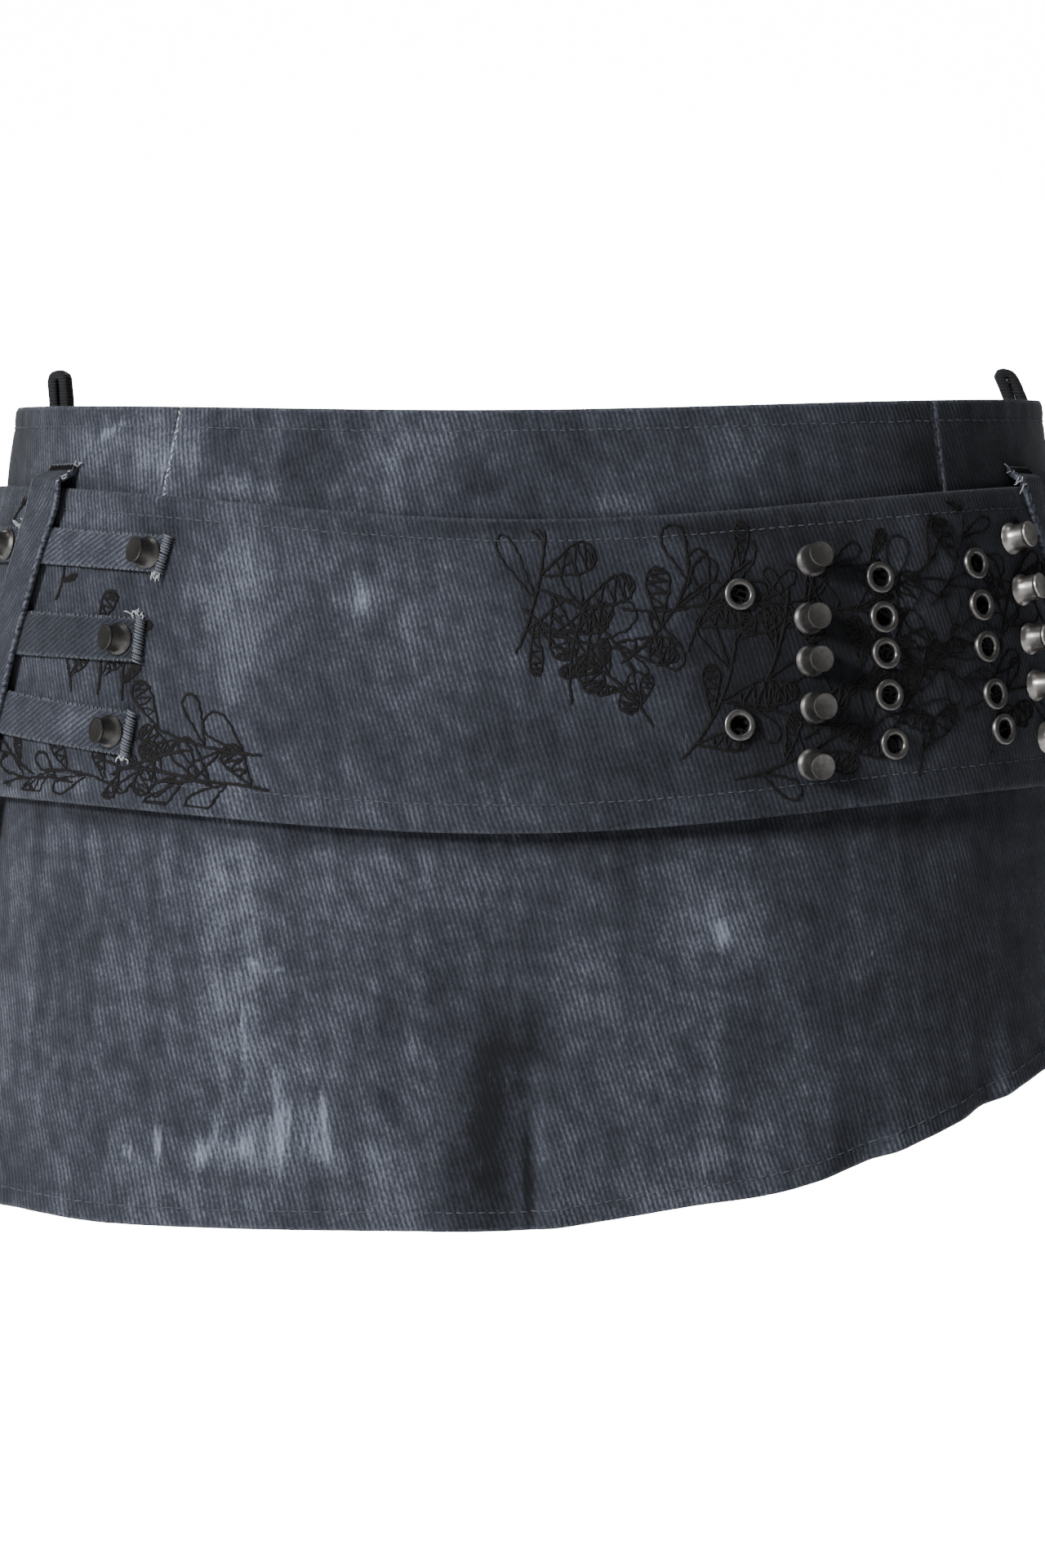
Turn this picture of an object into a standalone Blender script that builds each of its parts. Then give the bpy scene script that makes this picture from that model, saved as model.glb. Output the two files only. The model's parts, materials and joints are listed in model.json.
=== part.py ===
"""Low-rise mini skort in washed-black twill denim, with a wide studded belt.

All sizes are in millimetres, and MM turns them into metres as each mesh is made.
+Z is up, the front faces -Y and +X is on the viewer's right.
The origin is the middle of the waist opening, at the height of its front edge.
A turn is an angle round the body: 0 at the centre front, growing towards +X.
"out" is how far a face stands off the outer face of the skirt cloth.
"""
import math
from collections import namedtuple

import bmesh
import bpy
from mathutils import Matrix, Vector

MM = 0.001
SEAM_GAP = 0.3
HALF_GAP = SEAM_GAP / 2

# The figure that the cloth goes round, as sections from the hem up
Section = namedtuple("Section", "z half_width front back")
FIGURE = (
    Section(-230, 167.0, 117.5, 129.0),
    Section(-180, 163.2, 116.0, 127.5),
    Section(-120, 158.0, 114.2, 124.0),
    Section(-80, 154.5, 112.8, 119.0),
    Section(-40, 151.2, 110.8, 112.5),
    Section(0, 146.2, 108.0, 105.5),
    Section(15, 144.8, 106.8, 103.5),
)
ROUNDNESS = 2.1  # 2 gives an ellipse, more a squarer ring
SIDE_TURN = 90

# Hem heights round the skirt, lowest at the viewer's left front
Hem = namedtuple("Hem", "turn z")
HEM = (
    Hem(-180, -200),
    Hem(-150, -211),
    Hem(-120, -215),
    Hem(-90, -216.5),
    Hem(-68, -217.4),
    Hem(-53, -220.6),
    Hem(-16, -221.2),
    Hem(0, -221),
    Hem(10, -218.3),
    Hem(21, -214.6),
    Hem(31.5, -211.4),
    Hem(41.5, -204.9),
    Hem(52, -195.7),
    Hem(59, -188.6),
    Hem(67.5, -180),
    Hem(90, -164),
    Hem(108, -161),
    Hem(130, -170),
    Hem(155, -188),
    Hem(180, -200),
)

# Soft pleats pressed into the hem: a long dip to the left of each crease,
# a short rise to a proud fold on its right, fading out at the apex above
Pleat = namedtuple("Pleat", "turn depth wide apex")
PLEATS_FRONT = (
    Pleat(0.2, 5.0, 23, -159),
    Pleat(43.5, 4.0, 17, -172),
    Pleat(58.4, 2.8, 11, -160),
    Pleat(-76, 3.0, 18, -168),
)
PLEATS_BACK = (
    Pleat(112, 3.2, 15, -134),
    Pleat(136, 4.2, 20, -142),
    Pleat(165, 4.6, 22, -150),
    Pleat(-169, 3.6, 17, -158),
    Pleat(-143, 4.8, 24, -152),
    Pleat(-113, 3.4, 18, -165),
)
PLEAT_RISE = 7.5
PLEAT_PROUD = 0.9
PLEAT_FADE = 15
PLEAT_NARROWS = 0.45

SKIRT_THICK = 1.2
SKIRT_ROWS = (0, 0.2, 0.4, 0.55, 0.67, 0.78, 0.88, 0.95, 1)
SKIRT_STEP = 4.5
COLUMNS_APART = 1.2

# Waistband, cut in four lengths that meet end to end
WAIST_RISE_BACK = 10.0
WAIST_RISE_SIDE = 2.0
WAIST_TILT = 1.0
BAND_HEIGHT = 40.0
BAND_THICK = 2.0
BAND_OUT = 0.4
BAND_ROWS = (0, 0.5, 1)
BAND_STEP = 5.0
BandPiece = namedtuple("BandPiece", "name start end")
BAND_PIECES = (
    BandPiece("waistband_front", -50, 57),
    BandPiece("waistband_right", 57, 122),
    BandPiece("waistband_back", 122, 235),
    BandPiece("waistband_left", 235, 310),
)

# Wide belt round the waistband and the top of the skirt
BELT_TOP_FRONT = -29.8
BELT_TOP_SIDE = -16.8
BELT_TOP_BACK = -12.8
BELT_HEIGHT = 84.5
BELT_TILT = 1.8
BELT_THICK = 2.4
BELT_STEP = 5.0
BELT_ROWS = (0, 0.25, 0.5, 0.75, 1)
BELT_CLEAR_TOP = 0.8
BELT_CLEAR_SIDE = 0.8
BELT_CLEAR_FOOT = 3.0
BELT_BULGE = 1.1

# Eyelets set through the belt front, placed as seen from the front
Placed = namedtuple("Placed", "x z")
EYELETS = (
    Placed(56.4, -50.0),
    Placed(56.3, -85.2),
    Placed(94.5, -45.0),
    Placed(95.6, -55.8),
    Placed(96.2, -65.6),
    Placed(97.1, -76.9),
    Placed(98.6, -90.2),
    Placed(121.3, -40.6),
    Placed(122.9, -52.0),
    Placed(124.5, -63.4),
    Placed(127.0, -76.4),
    Placed(129.6, -86.0),
)
EYELET_SIDES = 12
EYELET_OUTER = 4.5
EYELET_LIP = 4.15
EYELET_BORE = 2.5
EYELET_BARREL = 2.9
EYELET_HOLE = 3.3
EYELET_PROUD = 1.8

# Studs: turned posts with a spread foot that stand on the belt or on a strap tab.
# lean turns a stud to the viewer's left, and nod tips its cap upwards, in degrees
Stud = namedtuple("Stud", "name x z lean nod")
STUDS_ON_BELT = (
    Stud("stud_centre_1", 76.0, -40.6, -4, 9),
    Stud("stud_centre_2", 75.3, -56.3, -5, 1),
    Stud("stud_centre_3", 75.9, -67.7, -5, 0),
    Stud("stud_centre_4", 77.0, -80.3, -4, -1),
    Stud("stud_centre_5", 76.3, -95.7, -5, -8),
    Stud("stud_side_1", 131.7, -33.3, -6, 3),
    Stud("stud_side_2", 134.8, -47.4, -7, 4),
    Stud("stud_side_3", 137.3, -60.9, -4, 1),
    Stud("stud_side_4", 139.2, -73.7, -5, 0),
    Stud("stud_side_5", 142.6, -88.1, -4, -3),
)
STUD_HEIGHT = 6.6
STUD_HEIGHT_ON_STRAP = 4.5
STUD_SIDES = 14

# A stud's section: its radius, and the share of its height where it has it
STUD_SECTION = ((0, 0), (4.5, 0), (4.4, 0.1), (3.5, 0.45), (3.4, 0.8), (3.6, 0.86), (3.5, 1), (0, 1))

# Strap tabs on the belt's left: each runs from its squared end towards the side.
# The turns are of its two ends, z and z_far the middle heights there
Strap = namedtuple("Strap", "name turn turn_far z z_far width stud_turn lean nod")
STRAPS = (
    Strap("strap_front_1", -47.5, -65.5, -38.5, -35.0, 10.2, -49.7, 22, 4),
    Strap("strap_front_2", -49.9, -68.0, -61.8, -59.0, 12.2, -52.5, 24, 0),
    Strap("strap_front_3", -50.6, -70.5, -87.5, -80.6, 12.2, -53.0, 23, 2),
    Strap("strap_side_1", -69.2, -102.0, -34.4, -33.0, 10.0, -71.8, 8, 0),
    Strap("strap_side_2", -72.0, -103.0, -57.6, -56.0, 11.0, -74.7, 8, 0),
    Strap("strap_side_3", -74.2, -104.0, -79.8, -77.0, 11.2, -77.1, 8, 0),
)
STRAP_THICK = 2.0
STRAP_OUT = 0.3
STRAP_CORNER = 1.6
STRAP_SPANS = 7

# Wide belt loops, sewn to the waistband above and to the skirt below the belt.
# head is the height of the top end, and over is what the loop clears beside the belt itself
BeltLoop = namedtuple("BeltLoop", "name turn_top turn_foot head over")
BELT_LOOPS = (
    BeltLoop("belt_loop_front_left", -64.2, -76.4, -12.4, STRAP_OUT + STRAP_THICK),
    BeltLoop("belt_loop_front_right", 70.3, 83.0, -12.8, 0),
    BeltLoop("belt_loop_back_right", 146, 148, -6.8, 0),
    BeltLoop("belt_loop_back_left", -146, -148, -7.0, 0),
)
BELT_LOOP_WIDTH = 13.0
BELT_LOOP_THICK = 1.6
BELT_LOOP_SEWN = 1.0
BELT_LOOP_OVER_BY = 2.0
BELT_LOOP_FOOT = 16.0
BELT_LOOP_ROWS = (0, 0.02, 0.04, 0.06, 0.1, 0.2, 0.35, 0.5, 0.65, 0.8, 0.86, 0.91, 0.96, 1)
BELT_LOOP_COLUMNS = 2

# Hanger loops of narrow tape, inside the waistband near the side seams
HangerLoop = namedtuple("HangerLoop", "name turn rise lean")
HANGER_LOOPS = (
    HangerLoop("hanger_loop_left", -102.5, 11.6, -4),
    HangerLoop("hanger_loop_right", 93.5, 10.2, -4),
)
HANGER_TAPE_THICK = 2.9
HANGER_TAPE_WIDTH = 5.0
HANGER_SLIT = 0.9
HANGER_DEPTH = 10.0

# Plain shorts under the skirt, hung from the waistband seam.
# down counts the waist part, then the seat round to the crotch, then the leg
SHORTS_THICK = 1.0
SHORTS_HALF_GAP = 0.3
SHORTS_TOP = -41.2
SHORTS_FORK = -110.0
SHORTS_CROTCH = -195.0
SHORTS_INSEAM_END = -203.0
SHORTS_SIDE_CROTCH = -148.0
SHORTS_SIDE_END = -152.0
SHORTS_LEG_DEPTH = 88.0
SHORTS_LEG_SPREAD = 3.0
SHORTS_SLANT = 1.15
SHORTS_ROWS = (0, 0.5, 1, 1.17, 1.34, 1.51, 1.68, 1.84, 2, 3)
SHORTS_COLUMNS = 9
Inset = namedtuple("Inset", "z inset")
SHORTS_INSETS = (
    Inset(-210, 10.0),
    Inset(-150, 9.0),
    Inset(-110, 4.0),
    Inset(-60, 2.4),
    Inset(-38, SKIRT_THICK + SEAM_GAP + SHORTS_HALF_GAP),
)
Panel = namedtuple("Panel", "name start side face")
SHORTS_PANELS = (
    Panel("shorts_front_left", -90, -1, -1),
    Panel("shorts_front_right", 0, 1, -1),
    Panel("shorts_back_right", 90, 1, 1),
    Panel("shorts_back_left", 180, -1, 1),
)

Finish = namedtuple("Finish", "name colour roughness metallic")
DENIM = Finish("washed_black_denim", (0.045, 0.052, 0.066), 0.9, 0.0)
BELT_DENIM = Finish("belt_denim", (0.032, 0.036, 0.046), 0.9, 0.0)
LINING_DENIM = Finish("plain_black_twill", (0.02, 0.022, 0.027), 0.92, 0.0)
GUNMETAL = Finish("gunmetal", (0.14, 0.135, 0.13), 0.35, 1.0)


def smooth(rows, at, column):
    """Read one column of a table between its rows, along a smooth curve through them."""
    last = len(rows) - 2
    i = 0
    while i < last and at > rows[i + 1][0]:
        i += 1
    low, high = rows[i], rows[i + 1]
    before, after = rows[max(i - 1, 0)], rows[min(i + 2, last + 1)]
    span = high[0] - low[0]
    t = min(max((at - low[0]) / span, 0), 1)
    start, end = getattr(low, column), getattr(high, column)
    slope_in = (end - getattr(before, column)) / (high[0] - before[0]) * span
    slope_out = (getattr(after, column) - start) / (after[0] - low[0]) * span
    return (
        start * (2 * t ** 3 - 3 * t ** 2 + 1)
        + slope_in * (t ** 3 - 2 * t ** 2 + t)
        + end * (3 * t ** 2 - 2 * t ** 3)
        + slope_out * (t ** 3 - t ** 2)
    )


def ease(t):
    """A soft step from 0 to 1 as t goes from 0 to 1."""
    t = min(max(t, 0), 1)
    return t * t * (3 - 2 * t)


def mix(start, end, t):
    return start + (end - start) * t


def ring(turn, z, out=0.0):
    """A point on the figure at a turn in degrees, moved straight out from its surface."""
    angle = math.radians(turn)
    half_width = smooth(FIGURE, z, "half_width")
    depth = smooth(FIGURE, z, "front" if math.cos(angle) > 0 else "back")
    across = math.sin(angle) / half_width
    along = -math.cos(angle) / depth
    reach = (abs(across) ** ROUNDNESS + abs(along) ** ROUNDNESS) ** (-1 / ROUNDNESS)
    normal = Vector((
        math.copysign(abs(across) ** (ROUNDNESS - 1) / half_width, across),
        math.copysign(abs(along) ** (ROUNDNESS - 1) / depth, along),
        0,
    )).normalized()
    return Vector((math.sin(angle) * reach, -math.cos(angle) * reach, z)) + normal * out


def outward(turn, z):
    """The level direction that points straight away from the figure."""
    return (ring(turn, z, 1.0) - ring(turn, z)).normalized()


def turn_at(x, z, out):
    """The turn, on the front half, at which a face that stands off by out reaches x."""
    low, high = -SIDE_TURN, SIDE_TURN
    for _ in range(40):
        middle = (low + high) / 2
        if ring(middle, z, out).x < x:
            low = middle
        else:
            high = middle
    return (low + high) / 2


def wrapped(turn):
    """The same turn between -180 and 180."""
    return (turn + 180) % 360 - 180


def waist_top(turn):
    angle = math.radians(turn)
    back = WAIST_RISE_BACK * (1 - math.cos(angle)) / 2
    return back + WAIST_RISE_SIDE * math.sin(angle) ** 2 + WAIST_TILT * math.sin(angle)


def belt_top(turn):
    angle = math.radians(turn)
    nearest = BELT_TOP_FRONT if math.cos(angle) > 0 else BELT_TOP_BACK
    return mix(nearest, BELT_TOP_SIDE, math.sin(angle) ** 2)


def belt_z(turn, down):
    """Height on the belt, where down goes from 0 at its top edge to 1 at its foot."""
    height = BELT_HEIGHT - BELT_TILT * math.sin(math.radians(turn))
    return belt_top(turn) - down * height


def belt_out(turn, down):
    """How far the belt's outer face stands off the skirt cloth."""
    side = BELT_CLEAR_SIDE * math.sin(math.radians(turn)) ** 2
    clear = mix(BELT_CLEAR_TOP + side, BELT_CLEAR_FOOT, down)
    return clear + BELT_BULGE * 4 * down * (1 - down) + BELT_THICK


def belt_out_at(turn, z):
    """The same at a height, held to the nearest edge past the belt's edges."""
    down = (belt_top(turn) - z) / (belt_top(turn) - belt_z(turn, 1))
    return belt_out(turn, min(max(down, 0), 1))


def pleat_dip(pleat, turn, z, hem):
    """How far one pleat moves the cloth in at a point: negative where it stands proud."""
    if z >= pleat.apex:
        return 0.0
    grown = (pleat.apex - z) / (pleat.apex - hem)
    reach = ring(pleat.turn, z).xy.length
    aside = math.radians(wrapped(turn - pleat.turn)) * reach
    wide = pleat.wide * mix(PLEAT_NARROWS, 1, grown)
    if aside < 0:
        dip = pleat.depth * ease(1 + aside / wide)
    elif aside < PLEAT_RISE:
        dip = mix(pleat.depth, -PLEAT_PROUD, ease(aside / PLEAT_RISE))
    else:
        dip = -PLEAT_PROUD * ease(1 - (aside - PLEAT_RISE) / PLEAT_FADE)
    return dip * min(grown, 1) ** 1.4


def hem_z(turn):
    return smooth(HEM, wrapped(turn), "z")


def skirt_point(turn, down, pleats):
    """The skirt's outer face, where down goes from 0 at the waistband to 1 at the hem."""
    hem = hem_z(turn)
    z = mix(waist_top(turn) - BAND_HEIGHT - SEAM_GAP, hem, down)
    dip = sum(pleat_dip(pleat, turn, z, hem) for pleat in pleats)
    return ring(turn, z, -dip)


def even_steps(start, end, step):
    """Evenly spaced values from start to end, about a step apart."""
    count = max(1, round((end - start) / step))
    return [mix(start, end, i / count) for i in range(count + 1)]


def pleated_columns(start, end, pleats):
    """Turns of a panel's columns, set closer together where a pleat bends the cloth."""
    columns = [start, end]
    for pleat in pleats:
        degree = math.degrees(1 / ring(pleat.turn, pleat.apex).xy.length)
        middle = pleat.turn if start <= pleat.turn <= end else pleat.turn + 360
        bends = (-pleat.wide, -pleat.wide * 0.6, -pleat.wide * 0.3, 0, PLEAT_RISE / 2, PLEAT_RISE)
        columns += [middle + bend * degree for bend in bends]
    for turn in even_steps(start, end, SKIRT_STEP):
        if min(abs(turn - other) for other in columns) > COLUMNS_APART:
            columns.append(turn)
    return sorted(columns)


def seam_turns(start, end, z):
    """The ends of a piece, drawn in by half a seam gap at each."""
    inset_start = math.degrees(HALF_GAP / ring(start, z).xy.length)
    inset_end = math.degrees(HALF_GAP / ring(end, z).xy.length)
    return start + inset_start, end - inset_end


def paint(piece, finish):
    """Give a piece its own material."""
    material = bpy.data.materials.new(piece.name + "_" + finish.name)
    material.use_nodes = True
    shader = material.node_tree.nodes["Principled BSDF"]
    shader.inputs["Base Color"].default_value = (*finish.colour, 1)
    shader.inputs["Roughness"].default_value = finish.roughness
    shader.inputs["Metallic"].default_value = finish.metallic
    material.diffuse_color = (*finish.colour, 1)
    piece.data.materials.append(material)


def to_object(name, form, finish, sharp=50):
    """Turn a bmesh in millimetres into a named object in metres."""
    form.transform(Matrix.Scale(MM, 4))
    mesh = bpy.data.meshes.new(name)
    form.to_mesh(mesh)
    form.free()
    mesh.shade_smooth()
    mesh.set_sharp_from_angle(angle=math.radians(sharp))
    piece = bpy.data.objects.new(name, mesh)
    bpy.context.scene.collection.objects.link(piece)
    if finish:
        paint(piece, finish)
    return piece


def cloth(name, columns, rows, place, thick, finish):
    """A cloth wall: a grid laid on its outer face by place(column, row), then thickened in."""
    form = bmesh.new()
    spans = len(columns) - 1
    drops = len(rows) - 1
    bmesh.ops.create_grid(form, x_segments=spans, y_segments=drops, size=0.5)
    for vert in form.verts:
        column = columns[round((vert.co.x + 0.5) * spans)]
        row = rows[round((0.5 - vert.co.y) * drops)]
        vert.co = place(column, row)
    piece = to_object(name, form, finish)
    wall = piece.modifiers.new("Wall", "SOLIDIFY")
    wall.thickness = thick * MM
    wall.offset = -1
    return piece


def make_skirt():
    for name, start, pleats in (
        ("skirt_front", -SIDE_TURN, PLEATS_FRONT),
        ("skirt_back", SIDE_TURN, PLEATS_BACK),
    ):
        ends = seam_turns(start, start + 180, SHORTS_FORK)

        def place(turn, down, pleats=pleats):
            return skirt_point(turn, down, pleats)

        cloth(name, pleated_columns(*ends, pleats), SKIRT_ROWS, place, SKIRT_THICK, DENIM)


def make_waistband():
    def place(turn, down):
        return ring(turn, waist_top(turn) - down * BAND_HEIGHT, BAND_OUT)

    for band in BAND_PIECES:
        columns = even_steps(*seam_turns(band.start, band.end, 0), BAND_STEP)
        cloth(band.name, columns, BAND_ROWS, place, BAND_THICK, DENIM)


def on_belt(turn, z, lift=0.0):
    """A point that stands off the belt's outer face by lift."""
    return ring(turn, z, belt_out_at(turn, z) + lift)


def belt_axes(turn, z):
    """Sideways, up and outward directions on the belt at a point."""
    out = outward(turn, z)
    slope = (on_belt(turn, z + 2) - on_belt(turn, z - 2)).normalized()
    aside = slope.cross(out).normalized()
    return aside, slope, aside.cross(slope)


def standing(turn, z, lift, lean=0.0, nod=0.0):
    """A matrix whose local +Z stands on the belt's outer face, leant and nodded."""
    aside, up, out = belt_axes(turn, z)
    frame = Matrix((aside, up, out)).transposed()
    tilt = Matrix.Rotation(-math.radians(lean), 3, up) @ Matrix.Rotation(-math.radians(nod), 3, aside)
    matrix = (tilt @ frame).to_4x4()
    matrix.translation = on_belt(turn, z, lift)
    return matrix


def make_eyelet_cutter(places):
    """Bars for the holes that the eyelets' barrels pass through, in one hidden cutter."""
    form = bmesh.new()
    for place in places:
        bmesh.ops.create_cone(
            form, cap_ends=True, segments=EYELET_SIDES, radius1=EYELET_HOLE,
            radius2=EYELET_HOLE, depth=BELT_THICK * 4, matrix=place,
        )
    cutter = to_object("eyelet_hole_cutter", form, None)
    cutter.hide_render = True
    cutter.display_type = "WIRE"
    return cutter


def make_eyelet(name, place):
    """A metal ring turned from its section: barrel inside the hole, flange over the belt."""
    section = (
        (EYELET_BORE, -BELT_THICK),
        (EYELET_BARREL, -BELT_THICK),
        (EYELET_BARREL, SEAM_GAP),
        (EYELET_OUTER, SEAM_GAP),
        (EYELET_LIP, EYELET_PROUD),
        (EYELET_BORE + 0.2, EYELET_PROUD),
    )
    form = bmesh.new()
    corners = [form.verts.new((radius, 0, height)) for radius, height in section]
    edges = [form.edges.new((a, b)) for a, b in zip(corners, corners[1:] + corners[:1])]
    bmesh.ops.spin(
        form, geom=corners + edges, axis=(0, 0, 1), cent=(0, 0, 0), dvec=(0, 0, 0),
        angle=math.tau, steps=EYELET_SIDES, use_merge=True,
    )
    bmesh.ops.recalc_face_normals(form, faces=form.faces)
    form.transform(place)
    to_object(name, form, GUNMETAL, sharp=35)


def make_belt():
    places = []
    for eyelet in EYELETS:
        turn = turn_at(eyelet.x, eyelet.z, belt_out_at(0, eyelet.z))
        places.append(standing(turn, eyelet.z, 0))
    cutter = make_eyelet_cutter(places)

    def place(turn, down):
        return ring(turn, belt_z(turn, down), belt_out(turn, down))

    for name, start in (("belt_front", -SIDE_TURN), ("belt_back", SIDE_TURN)):
        columns = even_steps(*seam_turns(start, start + 180, 0), BELT_STEP)
        belt = cloth(name, columns, BELT_ROWS, place, BELT_THICK, BELT_DENIM)
        if name == "belt_front":
            holes = belt.modifiers.new("Eyelet holes", "BOOLEAN")
            holes.operation = "DIFFERENCE"
            holes.object = cutter
    for number, place in enumerate(places, 1):
        make_eyelet(f"eyelet_{number:02d}", place)


def make_stud(name, turn, z, lift, lean, nod, height):
    """A turned post whose foot stays flat on its seat while the rest leans over."""
    form = bmesh.new()
    corners = [form.verts.new((radius, 0, share)) for radius, share in STUD_SECTION]
    edges = [form.edges.new(pair) for pair in zip(corners, corners[1:])]
    bmesh.ops.spin(
        form, geom=corners + edges, axis=(0, 0, 1), cent=(0, 0, 0), dvec=(0, 0, 0),
        angle=math.tau, steps=STUD_SIDES, use_merge=True,
    )
    bmesh.ops.remove_doubles(form, verts=form.verts, dist=0.001)
    bmesh.ops.recalc_face_normals(form, faces=form.faces)
    seat = standing(turn, z, lift).translation
    axis = standing(turn, z, lift, lean, nod).to_3x3() @ Vector((0, 0, height))
    for vert in form.verts:
        share = vert.co.z
        frame = standing(turn, z, lift, lean * share, nod * share).to_3x3()
        vert.co = frame @ Vector((vert.co.x, vert.co.y, 0)) + seat + axis * share
    to_object(name, form, GUNMETAL, sharp=35)


def make_studs():
    for stud in STUDS_ON_BELT:
        turn = turn_at(stud.x, stud.z, belt_out_at(0, stud.z))
        make_stud(stud.name, turn, stud.z, SEAM_GAP, stud.lean, stud.nod, STUD_HEIGHT)
    for strap in STRAPS:
        along = (strap.stud_turn - strap.turn) / (strap.turn_far - strap.turn)
        z = mix(strap.z, strap.z_far, along)
        lift = STRAP_OUT + STRAP_THICK + SEAM_GAP
        name = strap.name.replace("strap", "stud_strap")
        make_stud(
            name, strap.stud_turn, z, lift, strap.lean, strap.nod, STUD_HEIGHT_ON_STRAP,
        )


def make_straps():
    """Strap tabs that lie on the belt, with slightly cut corners at the free end."""
    for strap in STRAPS:
        corner = STRAP_CORNER / ring(strap.turn, strap.z).xy.length
        near = strap.turn - math.degrees(corner)
        columns = [mix(strap.turn_far, near, i / STRAP_SPANS) for i in range(STRAP_SPANS + 1)]
        columns.append(strap.turn)

        def place(turn, aside, strap=strap):
            along = (turn - strap.turn) / (strap.turn_far - strap.turn)
            half = strap.width / 2
            if turn == strap.turn:
                half -= STRAP_CORNER
            middle = mix(strap.z, strap.z_far, along)
            return on_belt(turn, middle - aside * half, STRAP_OUT + STRAP_THICK)

        cloth(strap.name, columns, (-1, 0, 1), place, STRAP_THICK, DENIM)


def loop_out(loop, turn, z):
    """The loop's inner face: on the waistband, out over the belt, and back to the skirt."""
    top = belt_z(turn, 0)
    foot = belt_z(turn, 1)
    over = belt_out_at(turn, z) + SEAM_GAP + loop.over
    if z > top:
        start = loop.head - BELT_LOOP_SEWN
        return mix(BAND_OUT + SEAM_GAP, over, ease((start - z) / (start - top - BELT_LOOP_OVER_BY)))
    if z > foot:
        return over
    return mix(SEAM_GAP, over, ease((z - foot + BELT_LOOP_FOOT) / BELT_LOOP_FOOT))


def make_belt_loops():
    for loop in BELT_LOOPS:
        columns = [i / BELT_LOOP_COLUMNS - 0.5 for i in range(BELT_LOOP_COLUMNS + 1)]

        def place(aside, down, loop=loop):
            middle = mix(loop.turn_top, loop.turn_foot, down)
            end = belt_z(middle, 1) - BELT_LOOP_FOOT - BELT_LOOP_SEWN
            z = mix(loop.head, end, down)
            turn = middle + math.degrees(aside * BELT_LOOP_WIDTH / ring(middle, z).xy.length)
            return ring(turn, z, loop_out(loop, turn, z) + BELT_LOOP_THICK)

        cloth(loop.name, columns, BELT_LOOP_ROWS, place, BELT_LOOP_THICK, DENIM)


def bend(radius, height, steps=6):
    """Points of a half circle over a height, from its +X side to its -X side."""
    turns = [math.pi * i / steps for i in range(steps + 1)]
    return [(radius * math.cos(turn), height + radius * math.sin(turn)) for turn in turns]


def make_hanger_loops():
    """Narrow tape bent over into a loop that stands just above the waist edge."""
    inner = HANGER_SLIT / 2
    outer = inner + HANGER_TAPE_THICK
    for loop in HANGER_LOOPS:
        straight = loop.rise + HANGER_DEPTH - outer
        outline = [(outer, 0), *bend(outer, straight), (-outer, 0)]
        outline += [(-inner, 0), *reversed(bend(inner, straight)), (inner, 0)]
        form = bmesh.new()
        side = form.faces.new([
            form.verts.new((x - outer, -HANGER_TAPE_WIDTH / 2, z - HANGER_DEPTH)) for x, z in outline
        ])
        swept = bmesh.ops.extrude_face_region(form, geom=[side])["geom"]
        moved = [vert for vert in swept if isinstance(vert, bmesh.types.BMVert)]
        bmesh.ops.translate(form, verts=moved, vec=(0, HANGER_TAPE_WIDTH, 0))
        bmesh.ops.recalc_face_normals(form, faces=form.faces)
        z = waist_top(loop.turn)
        out = outward(loop.turn, z)
        up = Vector((0, 0, 1))
        frame = Matrix((out, up.cross(out), up)).transposed()
        place = (Matrix.Rotation(math.radians(loop.lean), 3, "Y") @ frame).to_4x4()
        place.translation = ring(loop.turn, z, BAND_OUT - BAND_THICK - SEAM_GAP)
        form.transform(place)
        to_object(loop.name, form, DENIM)


def shorts_point(panel, turn, down):
    """A quarter of the waist above that turns into half of one leg below."""
    from_middle = abs(wrapped(turn)) / SIDE_TURN
    aside = from_middle if panel.face < 0 else 2 - from_middle
    seat = math.radians(90) * min(max(down - 1, 0), 1)
    leg = 1 - math.cos(seat)
    if down <= 1:
        rise = side = mix(SHORTS_TOP, SHORTS_FORK, down)
    elif down <= 2:
        rise = mix(SHORTS_FORK, SHORTS_CROTCH, math.sin(seat))
        side = mix(SHORTS_FORK, SHORTS_SIDE_CROTCH, down - 1)
    else:
        rise = mix(SHORTS_CROTCH, SHORTS_INSEAM_END, down - 2)
        side = mix(SHORTS_SIDE_CROTCH, SHORTS_SIDE_END, down - 2)
    z = mix(rise, side, ease(aside * SHORTS_SLANT))
    inset = smooth(SHORTS_INSETS, z, "inset")
    waist = ring(turn, z, -inset)
    spread = SHORTS_LEG_SPREAD * max(down - 2, 0)
    outer = smooth(FIGURE, z, "half_width") - inset
    round_leg = math.pi * aside
    across = mix(spread, outer, (1 - math.cos(round_leg)) / 2)
    depth = SHORTS_LEG_DEPTH * math.sin(round_leg)
    point = waist.lerp(Vector((panel.side * across, panel.face * depth, z)), leg)
    return point + Vector((panel.side, panel.face, 0)) * SHORTS_HALF_GAP


def make_shorts():
    for panel in SHORTS_PANELS:
        columns = even_steps(panel.start, panel.start + 90, 90 / SHORTS_COLUMNS)

        def place(turn, down, panel=panel):
            return shorts_point(panel, turn, down)

        cloth(panel.name, columns, SHORTS_ROWS, place, SHORTS_THICK, LINING_DENIM)


def main():
    for leftover in list(bpy.data.objects):
        bpy.data.objects.remove(leftover, do_unlink=True)
    make_skirt()
    make_waistband()
    make_belt()
    make_straps()
    make_studs()
    make_belt_loops()
    make_hanger_loops()
    make_shorts()


main()
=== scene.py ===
# %% [markdown]
# A low-rise mini skort in washed-black twill denim, worn, with a wide studded belt.
# The solids from the construction are loaded first and stay where they are. Each piece of
# cloth is then laid again as a fine sheet on the same figure, and the hard pieces are turned
# again with rounder edges, so the looks change and the sizes don't.

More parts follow.
